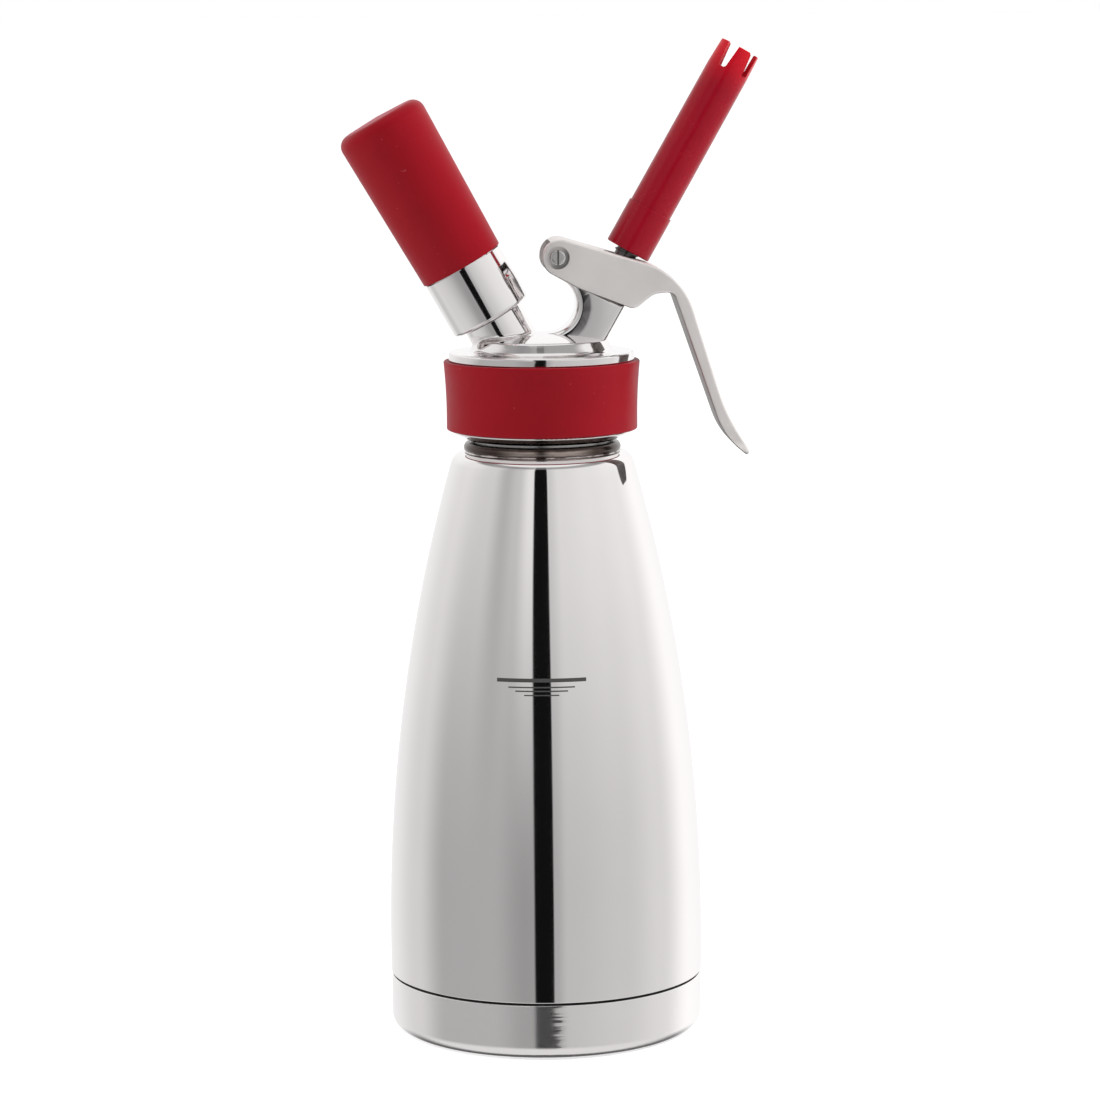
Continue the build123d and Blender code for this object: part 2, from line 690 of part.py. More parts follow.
# Hollow valve stem with cross holes above the gasket and a thread for the tip
stem_bottom = -VALVE_SEAT_DEPTH - VALVE_GASKET_THICKNESS - RETAINER_THICKNESS - 3 * WELD_GAP
hole_level = chamber_top - VALVE_CHAMBER_DEPTH / 2
stem_thread_start = TIP_BASE - STEM_PITCH
stem_top = stem_thread_start + STEM_PITCH * (STEM_THREAD_TURNS + 1)
stem_thread = thread_ridge(
    across(VALVE_SIDE, stem_thread_start),
    STEM_THREAD_ROOT,
    STEM_THREAD_ROOT + STEM_THREAD_DEPTH,
    STEM_PITCH,
    STEM_THREAD_TURNS,
)
with BuildPart() as valve_stem:
    stem_outline = [
        (0, stem_bottom),
        (STEM_RADIUS, stem_bottom),
        (STEM_RADIUS, collar_top),
        (STEM_THREAD_ROOT, collar_top + WELD_GAP),
        (STEM_THREAD_ROOT, stem_top, STEM_THREAD_DEPTH),
        (0, stem_top),
    ]
    revolve(half_section(VALVE_SIDE, stem_outline), turning_axis(VALVE_SIDE))
    add(stem_thread)
    stem_way = [
        (0, hole_level - STEM_BORE),
        (STEM_BORE, hole_level - STEM_BORE),
        (STEM_BORE, stem_top + STEM_BORE),
        (0, stem_top + STEM_BORE),
    ]
    revolve(half_section(VALVE_SIDE, stem_way), turning_axis(VALVE_SIDE), mode=Mode.SUBTRACT)
    hole_centre = across(VALVE_SIDE, hole_level)
    for direction in (hole_centre.x_dir, hole_centre.y_dir):
        with BuildSketch(Plane(hole_centre.origin, hole_centre.z_dir, direction)):
            Circle(STEM_HOLE_RADIUS)
        extrude(amount=STEM_RADIUS + STEM_BORE, both=True, mode=Mode.SUBTRACT)
save(valve_stem, "valve_stem")

# Rings on the stem: thrust collar, valve gasket and the nut that holds it
stem_fit = STEM_RADIUS + WELD_GAP
with BuildPart() as thrust_collar:
    collar_ring = ring_section(VALVE_SIDE, stem_fit, COLLAR_RADIUS, collar_bottom, collar_top, COLLAR_EDGE)
    revolve(collar_ring, turning_axis(VALVE_SIDE))
save(thrust_collar, "thrust_collar")

gasket_top = -VALVE_SEAT_DEPTH - WELD_GAP
gasket_bottom = gasket_top - VALVE_GASKET_THICKNESS
with BuildPart() as valve_gasket:
    seat_ring = ring_section(
        VALVE_SIDE, stem_fit, VALVE_GASKET_RADIUS, gasket_bottom, gasket_top, GASKET_EDGE
    )
    revolve(seat_ring, turning_axis(VALVE_SIDE))
save(valve_gasket, "valve_gasket")

retainer_bottom = gasket_bottom - WELD_GAP - RETAINER_THICKNESS
with BuildPart() as gasket_nut:
    with BuildSketch(across(VALVE_SIDE, retainer_bottom)):
        RegularPolygon(RETAINER_RADIUS, 6)
        Circle(stem_fit, mode=Mode.SUBTRACT)
    extrude(amount=RETAINER_THICKNESS)
save(gasket_nut, "gasket_nut")


def about_pivot(points):
    """Move outline points from the pivot to the bottle's own side plane."""
    return [(pivot[0] + point[0], pivot[1] + point[1], *point[2:]) for point in points]


# Lever: a channel over the tower that runs out into a curved blade
web_start = LEVER_OUTLINE[0]
web_end = LEVER_OUTLINE[1]
web_slope = (web_end[1] - web_start[1]) / (web_end[0] - web_start[0])
web_drop = WEB_WALL * sqrt(1 + web_slope**2)
lever_left = web_start[0] - LEVER_HALF_WIDTH
blade_bottom = min(point[1] for point in LEVER_OUTLINE)


def web_underside(along):
    """The height of the web's underside, about the pivot."""
    return web_start[1] + web_slope * (along - web_start[0]) - web_drop


cheek_bore = LEVER_HALF_WIDTH - CHEEK_WALL
spot_face = LEVER_HALF_WIDTH - SPOT_FACE_DEPTH
stem_slot = STEM_THREAD_ROOT + STEM_THREAD_DEPTH + STEM_SLOT_GAP
axis_from_web = pivot[1] + web_underside(VALVE_OFFSET - pivot[0]) - disc_top
web_on_axis = axis_from_web / (lean_cos - web_slope * lean_sin) + WEB_WALL / 2
with BuildPart() as lever:
    with BuildSketch(BOTTLE_SIDE):
        lever_side = about_pivot(LEVER_OUTLINE)
        with BuildLine():
            FilletPolyline(
                *[point[:2] for point in lever_side],
                radius=[point[2] for point in lever_side],
                close=True,
            )
        make_face()
    extrude(amount=LEVER_HALF_WIDTH, both=True)
    # The blade narrows to a rounded end
    with BuildSketch(Plane.YZ.offset(pivot[0] + lever_left)):
        with BuildLine():
            FilletPolyline(
                (-LEVER_HALF_WIDTH, pivot[1] + LEVER_HALF_WIDTH),
                (-LEVER_HALF_WIDTH, pivot[1] + LEVER_OUTLINE[6][1]),
                (-BLADE_TIP_HALF_WIDTH, pivot[1] + blade_bottom),
                (BLADE_TIP_HALF_WIDTH, pivot[1] + blade_bottom),
                (LEVER_HALF_WIDTH, pivot[1] + LEVER_OUTLINE[6][1]),
                (LEVER_HALF_WIDTH, pivot[1] + LEVER_HALF_WIDTH),
                radius=[0, 0, BLADE_TIP_ROUND, BLADE_TIP_ROUND, 0, 0],
                close=True,
            )
        make_face()
    extrude(amount=2 * LEVER_OUTLINE[3][0], mode=Mode.INTERSECT)
    # Soft edges all round both flanks, without the folds between cheeks and blade
    flanks = lever.faces().sort_by(Axis.Y)
    flank_edges = (flanks[:2] + flanks[-2:]).edges()
    fillet(flank_edges.filter_by(Plane.XY, reverse=True), LEVER_EDGE_ROUND)
    # Channel between the cheeks
    with BuildSketch(BOTTLE_SIDE):
        with BuildLine():
            Polyline(
                *about_pivot(
                    [
                        (lever_left, web_underside(lever_left)),
                        (CHANNEL_END, web_underside(CHANNEL_END)),
                        (CHANNEL_END, blade_bottom / 2),
                        (lever_left, blade_bottom / 2),
                    ]
                ),
                close=True,
            )
        make_face()
    extrude(amount=cheek_bore, both=True, mode=Mode.SUBTRACT)
    # Two noses under the web press the thrust collar on both sides of the stem
    with BuildSketch(VALVE_SIDE):
        with Locations((0, PIVOT_RISE + NOSE_RISE)):
            Circle(NOSE_RADIUS)
        with Locations((0, (PIVOT_RISE + NOSE_RISE + web_on_axis) / 2)):
            Rectangle(2 * NOSE_RADIUS, web_on_axis - PIVOT_RISE - NOSE_RISE)
    extrude(amount=cheek_bore + CHEEK_WALL / 2, both=True)
    # Slot for the stem, long enough for the lever's swing
    with BuildSketch(across(VALVE_SIDE, collar_top)):
        with Locations((-STEM_SLOT_TRAVEL / 2, 0)):
            SlotCenterToCenter(STEM_SLOT_TRAVEL, 2 * stem_slot)
    extrude(amount=TIP_BASE - collar_top, mode=Mode.SUBTRACT)
    # Pivot hole, spot-faced on both cheeks
    extrude(pivot_disc(0, PIVOT_RADIUS + PIN_GAP), amount=LEVER_HALF_WIDTH, both=True, mode=Mode.SUBTRACT)
    for cheek in (spot_face, -LEVER_HALF_WIDTH):
        extrude(pivot_disc(cheek, SPOT_FACE_RADIUS), amount=SPOT_FACE_DEPTH, mode=Mode.SUBTRACT)
save(lever, "lever")

# Pivot: a sleeve nut through both cheeks and the ear, closed by a slotted screw
head_seat = spot_face + WELD_GAP
with BuildPart() as pivot_nut:
    extrude(pivot_disc(-head_seat, PIVOT_RADIUS), amount=2 * spot_face)
    extrude(pivot_disc(-head_seat, PIVOT_HEAD_RADIUS), amount=-PIVOT_HEAD_HEIGHT)
    extrude(pivot_disc(head_seat, PIVOT_SCREW_RADIUS + WELD_GAP), amount=-head_seat, mode=Mode.SUBTRACT)
save(pivot_nut, "pivot_nut")

with BuildPart() as pivot_screw:
    extrude(pivot_disc(head_seat, PIVOT_HEAD_RADIUS), amount=PIVOT_HEAD_HEIGHT)
    fillet(pivot_screw.faces().sort_by(Axis.Y)[0].edges(), PIVOT_SLOT_WIDTH / 2)
    extrude(pivot_disc(head_seat, PIVOT_SCREW_RADIUS), amount=-spot_face)
    with BuildSketch(BOTTLE_SIDE.offset(head_seat + PIVOT_HEAD_HEIGHT)):
        with Locations(pivot):
            Rectangle(PIVOT_SLOT_WIDTH, 3 * PIVOT_HEAD_RADIUS)
    extrude(amount=-PIVOT_SLOT_DEPTH, mode=Mode.SUBTRACT)
save(pivot_screw, "pivot_screw")

# Threaded insert and decorator tip
insert_bore = STEM_THREAD_ROOT + STEM_THREAD_DEPTH + INSERT_GAP
insert_radius = insert_bore + INSERT_WALL
insert_top = TIP_BASE + INSERT_INSET + INSERT_LENGTH
with BuildPart() as tip_insert:
    insert_ring = ring_section(VALVE_SIDE, insert_bore, insert_radius, TIP_BASE + INSERT_INSET, insert_top)
    revolve(insert_ring, turning_axis(VALVE_SIDE))
save(tip_insert, "tip_insert")

notch_floor = TIP_BASE + TIP_BODY_LENGTH
tip_top = notch_floor + TIP_PRONG_LENGTH
tip_bore = TIP_TOP_RADIUS - TIP_WALL
tip_plane = across(VALVE_SIDE, notch_floor)
with BuildPart() as decorator_tip:
    tip_outline = [
        (insert_radius + SLIP_GAP, TIP_BASE),
        (TIP_COLLAR_RADIUS, TIP_BASE, TIP_STEP),
        (TIP_COLLAR_RADIUS, TIP_BASE + TIP_COLLAR_LENGTH, TIP_STEP / 2),
        (TIP_COLLAR_RADIUS - TIP_STEP, TIP_BASE + TIP_COLLAR_LENGTH),
        (TIP_NOTCH_RADIUS, notch_floor),
        (TIP_TOP_RADIUS, tip_top, TIP_STEP),
        (tip_bore, tip_top, TIP_STEP),
        (tip_bore, insert_top + SLIP_GAP),
        (insert_radius + SLIP_GAP, insert_top + SLIP_GAP),
    ]
    revolve(half_section(VALVE_SIDE, tip_outline), turning_axis(VALVE_SIDE))
    # Round-floored notches leave a crown of prongs
    for notch in range(TIP_PRONGS):
        angle = radians(TIP_PRONG_TURN - 90 + 360 * (notch + 0.5) / TIP_PRONGS)
        outward = tip_plane.x_dir * cos(angle) + tip_plane.y_dir * sin(angle)
        sideways = outward.cross(tip_plane.z_dir)
        with BuildSketch(Plane(tip_plane.origin, sideways, outward)):
            with BuildLine():
                FilletPolyline(
                    (-TIP_NOTCH_FOOT / 2, 0),
                    (TIP_NOTCH_FOOT / 2, 0),
                    (TIP_NOTCH_WIDTH / 2, -TIP_PRONG_LENGTH),
                    (TIP_NOTCH_WIDTH / 2, -2 * TIP_PRONG_LENGTH),
                    (-TIP_NOTCH_WIDTH / 2, -2 * TIP_PRONG_LENGTH),
                    (-TIP_NOTCH_WIDTH / 2, -TIP_PRONG_LENGTH),
                    radius=[TIP_NOTCH_ROUND, TIP_NOTCH_ROUND, 0, 0, 0, 0],
                    close=True,
                )
            make_face()
        extrude(amount=TIP_COLLAR_RADIUS, mode=Mode.SUBTRACT)
save(decorator_tip, "decorator_tip")

# Gas charger: a thick steel bulb with a pierced nose
shoulder_foot = charger_nose + CHARGER_NECK_LENGTH
shoulder_end = shoulder_foot + CHARGER_SHOULDER
with BuildPart() as gas_charger:
    charger_outline = [
        (0, charger_nose),
        (CHARGER_NECK_RADIUS, charger_nose, CHARGER_WALL / 3),
        (CHARGER_NECK_RADIUS, shoulder_foot, CHARGER_WALL),
        (CHARGER_RADIUS, shoulder_end, CHARGER_NECK_RADIUS),
        (CHARGER_RADIUS, charger_end, CHARGER_RADIUS - CHARGER_WALL),
        (0, charger_end),
    ]
    revolve(half_section(CHARGER_SIDE, charger_outline), turning_axis(CHARGER_SIDE))
    charger_room = [
        (0, charger_nose - CHARGER_WALL),
        (PIERCED_HOLE, charger_nose - CHARGER_WALL),
        (PIERCED_HOLE, charger_nose + CHARGER_WALL),
        (CHARGER_NECK_RADIUS - CHARGER_WALL, charger_nose + CHARGER_WALL),
        (CHARGER_NECK_RADIUS - CHARGER_WALL, shoulder_foot + CHARGER_WALL),
        (CHARGER_RADIUS - CHARGER_WALL, shoulder_end + CHARGER_WALL),
        (CHARGER_RADIUS - CHARGER_WALL, charger_end - CHARGER_WALL, CHARGER_RADIUS - 2 * CHARGER_WALL),
        (0, charger_end - CHARGER_WALL),
    ]
    revolve(half_section(CHARGER_SIDE, charger_room), turning_axis(CHARGER_SIDE), mode=Mode.SUBTRACT)
save(gas_charger, "gas_charger")

# Charger holder: threaded collar and core tube, under a silicone sleeve
charger_bore = CHARGER_RADIUS + CHARGER_GAP
core_radius = charger_bore + HOLDER_CORE_WALL
sleeve_foot = collar_foot + COLLAR_LENGTH
core_floor = charger_end + RUNNING_GAP
core_end = core_floor + HOLDER_END_WALL
thread_room_top = spigot_top + THREAD_GAP
holder_thread = thread_ridge(
    across(CHARGER_SIDE, spigot_thread_start - SPIGOT_PITCH / 2),
    holder_thread_bore,
    holder_thread_bore - SPIGOT_THREAD_DEPTH,
    SPIGOT_PITCH,
    SPIGOT_TURNS,
)
with BuildPart() as holder_core:
    core_outline = [
        (holder_thread_bore, collar_foot),
        (COLLAR_OUTER, collar_foot, COLLAR_EDGE_ROUND),
        (COLLAR_OUTER, sleeve_foot),
        (core_radius, sleeve_foot),
        (core_radius, core_end, HOLDER_END_WALL / 2),
        (0, core_end),
        (0, core_floor),
        (charger_bore, core_floor, charger_bore / 2),
        (charger_bore, thread_room_top),
        (holder_thread_bore, thread_room_top),
    ]
    revolve(half_section(CHARGER_SIDE, core_outline), turning_axis(CHARGER_SIDE))
    add(holder_thread)
save(holder_core, "holder_core")

sleeve_end = core_end + SLIP_GAP + SLEEVE_END_WALL
with BuildPart() as holder_sleeve:
    sleeve_outline = [
        (core_radius + SLIP_GAP, sleeve_foot + SLIP_GAP),
        (SLEEVE_FOOT_RADIUS, sleeve_foot + SLIP_GAP, GRIP_EDGE_ROUND),
        (SLEEVE_TOP_RADIUS, sleeve_end, SLEEVE_END_ROUND),
        (0, sleeve_end + SLEEVE_CROWN),
        (0, core_end + SLIP_GAP),
        (core_radius + SLIP_GAP, core_end + SLIP_GAP),
    ]
    revolve(half_section(CHARGER_SIDE, sleeve_outline), turning_axis(CHARGER_SIDE))
save(holder_sleeve, "holder_sleeve")

# Charging side: seal under the charger's nose, hollow pin, check valve
with BuildPart() as charger_seal:
    nose_ring = ring_section(
        CHARGER_SIDE,
        NEEDLE_RADIUS + PIERCED_HOLE,
        spigot_bore - WELD_GAP,
        seal_floor + WELD_GAP,
        charger_nose - WELD_GAP,
    )
    revolve(nose_ring, turning_axis(CHARGER_SIDE))
save(charger_seal, "charger_seal")

needle_top = seal_floor + NEEDLE_LENGTH
with BuildPart() as piercing_pin:
    pin_outline = [
        (GAS_BORE, pin_bottom),
        (PIN_RADIUS, pin_bottom),
        (PIN_RADIUS, seal_floor),
        (NEEDLE_RADIUS, seal_floor),
        (NEEDLE_RADIUS, needle_top - NEEDLE_RADIUS),
        (GAS_BORE, needle_top),
    ]
    revolve(half_section(CHARGER_SIDE, pin_outline), turning_axis(CHARGER_SIDE))
save(piercing_pin, "piercing_pin")

with BuildPart(across(CHARGER_SIDE, ball_centre)) as check_ball:
    Sphere(BALL_RADIUS)
save(check_ball, "check_ball")

with BuildPart() as check_spring:
    add(
        coil(
            across(CHARGER_SIDE, gas_screw_top + WELD_GAP),
            SEAT_RADIUS + CHECK_SPRING_WIRE,
            CHECK_SPRING_WIRE,
            CHECK_SPRING_TURNS,
            CHECK_SPRING_LENGTH,
        )
    )
save(check_spring, "check_spring")

with BuildPart() as gas_screw:
    screw_ring = ring_section(CHARGER_SIDE, SEAT_RADIUS, GAS_SCREW_RADIUS, gas_screw_bottom, gas_screw_top)
    revolve(screw_ring, turning_axis(CHARGER_SIDE))
    with BuildSketch(across(CHARGER_SIDE, gas_screw_bottom)):
        Rectangle(3 * GAS_SCREW_RADIUS, GAS_SCREW_SLOT)
    extrude(amount=GAS_SCREW_SLOT, mode=Mode.SUBTRACT)
save(gas_screw, "gas_screw")
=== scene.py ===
"""Whipping siphon: surface finishes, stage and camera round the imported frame."""

import json
import math

import bmesh
import bpy
from bpy.props import FloatProperty, FloatVectorProperty, IntProperty, PointerProperty
from mathutils import Matrix, Vector

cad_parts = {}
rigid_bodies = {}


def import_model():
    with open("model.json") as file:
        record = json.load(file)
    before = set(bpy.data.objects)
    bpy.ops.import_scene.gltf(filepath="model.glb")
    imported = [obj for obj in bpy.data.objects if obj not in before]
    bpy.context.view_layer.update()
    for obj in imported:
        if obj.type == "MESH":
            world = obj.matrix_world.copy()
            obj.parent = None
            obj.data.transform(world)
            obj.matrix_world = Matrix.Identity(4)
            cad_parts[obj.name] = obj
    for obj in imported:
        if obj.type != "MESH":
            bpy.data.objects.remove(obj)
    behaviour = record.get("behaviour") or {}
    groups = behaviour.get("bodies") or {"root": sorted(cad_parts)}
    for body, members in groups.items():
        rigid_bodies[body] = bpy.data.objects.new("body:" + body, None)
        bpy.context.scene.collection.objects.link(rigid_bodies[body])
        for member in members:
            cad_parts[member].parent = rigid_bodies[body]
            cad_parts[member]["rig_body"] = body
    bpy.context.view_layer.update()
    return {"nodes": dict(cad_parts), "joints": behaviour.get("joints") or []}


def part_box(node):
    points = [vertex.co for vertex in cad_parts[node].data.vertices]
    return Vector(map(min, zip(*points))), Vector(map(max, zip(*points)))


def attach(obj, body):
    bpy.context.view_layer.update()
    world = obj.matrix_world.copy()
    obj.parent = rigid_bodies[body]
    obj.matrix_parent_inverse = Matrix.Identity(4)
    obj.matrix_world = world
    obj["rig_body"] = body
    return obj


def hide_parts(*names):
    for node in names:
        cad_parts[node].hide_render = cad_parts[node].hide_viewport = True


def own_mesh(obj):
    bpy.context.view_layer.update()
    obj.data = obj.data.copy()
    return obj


bl_info = {
    "name": "Whipping Siphon",
    "version": (1, 0, 0),
    "blender": (4, 5, 0),
    "location": "3D View > Sidebar > Siphon",
    "description": "Builds the polished, satin and red pieces of a whipping siphon",
    "category": "Object",
}

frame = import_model()

MERGE_DISTANCE = 1e-6
SHARP_ANGLE = math.radians(32)
ARC_STEP = math.radians(9)
ARC_LENGTH = 0.003
WHITE = (1.0, 1.0, 1.0)
DISPLAY_WHITE = 255


def joint_named(name):
    """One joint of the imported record."""
    for joint in frame["joints"]:
        if joint["name"] == name:
            return joint
    raise RuntimeError(f"the frame has no joint {name}")


TIP_JOINT = joint_named("tip_turn")
HOLDER_JOINT = joint_named("holder_turn")
SHELL_LOW, SHELL_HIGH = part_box("outer_shell")
CUP_LOW, CUP_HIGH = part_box("base_cup")
RING_LOW, RING_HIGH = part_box("head_grip_ring")


def length(name, default, description):
    """A length of the model, in metres."""
    return FloatProperty(
        name=name, description=description, default=default, min=0.0, precision=5, unit="LENGTH"
    )


def colour(name, default, description):
    """A linear colour of a finish."""
    return FloatVectorProperty(
        name=name, description=description, default=default, min=0.0, max=1.0, size=3, subtype="COLOR"
    )


def angle(name, degrees, description):
    """An angle of the stage."""
    return FloatProperty(
        name=name, description=description, default=math.radians(degrees), subtype="ANGLE", unit="ROTATION"
    )


def power(name, watts, description):
    """The power of a lamp."""
    return FloatProperty(name=name, description=description, default=watts, min=0.0, unit="POWER")


class SiphonBottle(bpy.types.PropertyGroup):
    """Sizes of the bottle's turned pieces."""

    body_radius: length("Body radius", SHELL_HIGH.x, "Radius of the straight lower wall")
    wall: length("Wall", 0.001, "Sheet thickness of the outer shell")
    straight_top: length("Straight wall top", 0.0315, "Height where the taper begins")
    shoulder_height: length("Shoulder height", 0.191, "Height of the flat shoulder")
    shoulder_round: length("Shoulder round", 0.005, "Radius of the shoulder's edge")
    neck_radius: length("Neck radius", 0.0236, "Radius of the neck above the shoulder")
    neck_fillet: length("Neck fillet", 0.0015, "Radius where the shoulder meets the neck")
    bead_radius: length("Bead radius", 0.0256, "Radius of the bead round the neck")
    bead_foot: length("Bead foot", 0.1905, "Height where the bead's round would end inside the shoulder")
    seam_top: length("Seam top", 0.0188, "Height where the shell steps out over the base cup")
    seam_round: length("Seam round", 0.0003, "Radius of the edges along the seam")
    skirt_radius: length("Skirt radius", 0.0499, "Radius of the skirt inside the base cup")
    cup_wall: length("Cup wall", 0.0012, "Sheet thickness of the base cup")
    cup_round: length("Cup round", 0.0045, "Radius of the base cup's lower edge")
    foot_width: length("Foot width", 0.008, "Width of the ring that the bottle stands on")
    foot_recess: length("Foot recess", 0.002, "Depth of the raised middle under the foot")
    steps: IntProperty(name="Turning steps", description="Facets round a turned piece", default=256, min=32)


class SiphonHead(bpy.types.PropertyGroup):
    """Sizes of the turned pieces on the head."""

    ring_foot: length("Grip ring foot", 0.03105, "Radius of the grip ring's lower edge")
    ring_bore: length("Grip ring bore", 0.02865, "Inner radius of the grip ring")
    ring_flare: length("Grip ring flare", 0.21, "Height about which the grip ring flares out")
    ring_flare_round: length("Grip ring flare round", 0.18, "Radius of the grip ring's flare")
    ring_round: length("Grip ring round", 0.0005, "Radius of the grip ring's edges")
    hollow_offset: length("Hollow offset", 0.0019, "Distance of the hollow beside the tower from the axis")
    hollow_height: length("Hollow height", 0.2388, "Height of the round hollow's centre")
    crown_line: length("Crown line", 0.015, "Distance of the tower's highest line from the hollow's centre")
    crown_reach: length("Crown reach", 0.0085, "Distance from the middle that takes in the tower's faces")
    sleeve_foot: length("Sleeve foot", 0.0323, "Distance of the sleeve's lower edge along the holder's axis")
    sleeve_foot_radius: length("Sleeve foot radius", 0.014, "Radius of the sleeve's lower edge")
    sleeve_radius: length("Sleeve radius", 0.01525, "Radius of the sleeve at its closed end")
    sleeve_bore: length("Sleeve bore", 0.0119, "Inner radius of the sleeve")
    sleeve_floor: length("Sleeve floor", 0.0826, "Distance of the sleeve's inner end along the holder's axis")
    sleeve_end: length("Sleeve end", 0.0866, "Distance of the sleeve's outer end along the holder's axis")
    sleeve_round: length("Sleeve round", 0.004, "Radius of the sleeve's outer edge")
    sleeve_crown: length("Sleeve crown", 0.0008, "Rise of the sleeve's closed end")
    thin_mouth: length("Thin mouth", 0.016, "Length of the tip's mouth that lets light through")


class SiphonFinish(bpy.types.PropertyGroup):
    """Colours of the finishes, and of the shade and light painted on some pieces."""

    steel: colour("Polished steel", (0.85, 0.825, 0.82), "Mirror finish of the bottle and head")
    satin: colour("Satin steel", (0.98, 0.92, 0.9), "Bead-blasted finish of the lever")
    plain: colour("Plain steel", (0.56, 0.55, 0.54), "Turned finish of the pieces inside")
    # Painted shade on the valve stem, which shows in the gap under the tip
    stem: colour("Stem shade", (0.11, 0.1, 0.1), "Blackened finish of the valve stem")
    # Painted reflection along the middle of the neck's bead, and painted shade on the rest of the bead
    bead_highlight: colour("Bead highlight", (0.42, 0.35, 0.315), "Lighter weld colour along the middle of the bead")
    bead_shade: colour("Bead shade", (0.07, 0.052, 0.046), "Weld colour left on the bead round the neck")
    # Painted shade on the lever's underside, its pivot end, the recess round its screw and the screw's slot
    painted_shade: colour("Painted shade", (0.3, 0.288, 0.28), "Dull underside of the lever and slot of its screw")
    # Painted shade in the groove of the seam over the base cup
    seam_shade: colour("Seam shade", (0.008, 0.008, 0.008), "Filler in the seam over the base cup")
    silicone: colour("Red silicone", (0.218, 0.0021, 0.0075), "Grip ring and sleeve")
    plastic: colour("Red plastic", (0.245, 0.0011, 0.01), "Decorator tip")
    # Painted light where light shines through the tip's thin mouth
    mouth_glow: colour("Red plastic lit through", (0.47, 0.0035, 0.012), "Mouth of the decorator tip")
    rubber: colour("Seal rubber", (0.035, 0.035, 0.037), "Gaskets and rings")
    liner: colour("White plastic", (0.78, 0.77, 0.74), "Guide bush of the valve stem")
    etching: colour("Fill mark", (0.045, 0.043, 0.042), "Etched lines of the fill mark")


class SiphonStage(bpy.types.PropertyGroup):
    """Camera and light of the stage."""

    lens: FloatProperty(name="Lens", description="Focal length", default=130.9, min=1.0, unit="CAMERA")
    distance: length("Camera distance", 1.297, "Distance of the camera from the bottle's axis")
    height: length("Camera height", 0.338, "Height of the camera above the floor")
    bearing: angle("Camera bearing", -3.4, "Turn of the camera about the bottle's axis")
    pitch: angle("Camera pitch", 7.9, "Tilt of the camera below the horizon")
    yaw: angle("Camera yaw", 0.1, "Turn of the camera away from the bottle's axis")
    roll: angle("Camera roll", -0.44, "Roll of the camera about its view")
    key_power: power("Key", 28.0, "Power of the key lamp")
    fill_power: power("Fill", 12.0, "Power of the fill lamp")


# Outlines and turned pieces


def rounded_corner(before, corner, after, radius):
    """Where a round starts and ends at a corner, its centre and its turn about +Y."""
    inward = (before - corner).normalized()
    outward = (after - corner).normalized()
    opening = inward.angle(outward)
    reach = radius / math.tan(opening / 2)
    start = corner + inward * reach
    end = corner + outward * reach
    centre = corner + (inward + outward).normalized() * (radius / math.sin(opening / 2))
    turn = math.pi - opening
    if (start - centre).cross(end - centre).y < 0:
        turn = -turn
    return start, end, centre, turn


def line_to(bm, pen, point):
    """Draw a straight edge from the pen to a point, unless it is there already."""
    if (pen.co - point).length < MERGE_DISTANCE:
        return pen
    pen = bmesh.ops.extrude_vert_indiv(bm, verts=[pen])["verts"][0]
    pen.co = point
    return pen


def arc_to(bm, pen, centre, turn, end):
    """Draw an arc from the pen about a centre."""
    run = abs(turn) * (pen.co - centre).length
    steps = max(3, math.ceil(abs(turn) / ARC_STEP), math.ceil(run / ARC_LENGTH))
    swept = bmesh.ops.spin(
        bm, geom=[pen], cent=centre, axis=(0, 1, 0), angle=turn, steps=steps, use_duplicate=False
    )
    pen = [item for item in swept["geom_last"] if isinstance(item, bmesh.types.BMVert)][0]
    if (pen.co - end).length > 100 * MERGE_DISTANCE:
        raise RuntimeError("a round doesn't meet its outline")
    return pen


def draw_outline(bm, corners):
    """Draw a half section from corners of radius, height and an optional round."""
    points = [Vector((corner[0], 0, corner[1])) for corner in corners]
    rounds = [corner[2] if len(corner) > 2 else 0 for corner in corners]
    count = len(points)
    closed = points[0].x > 0
    pen = bm.verts.new(points[0])
    for index in range(1, count):
        if rounds[index]:
            start, end, centre, turn = rounded_corner(
                points[index - 1], points[index], points[(index + 1) % count], rounds[index]
            )
            pen = line_to(bm, pen, start)
            pen = arc_to(bm, pen, centre, turn, end)
        else:
            pen = line_to(bm, pen, points[index])
    if closed:
        line_to(bm, pen, points[0])
    bmesh.ops.remove_doubles(bm, verts=bm.verts, dist=MERGE_DISTANCE)


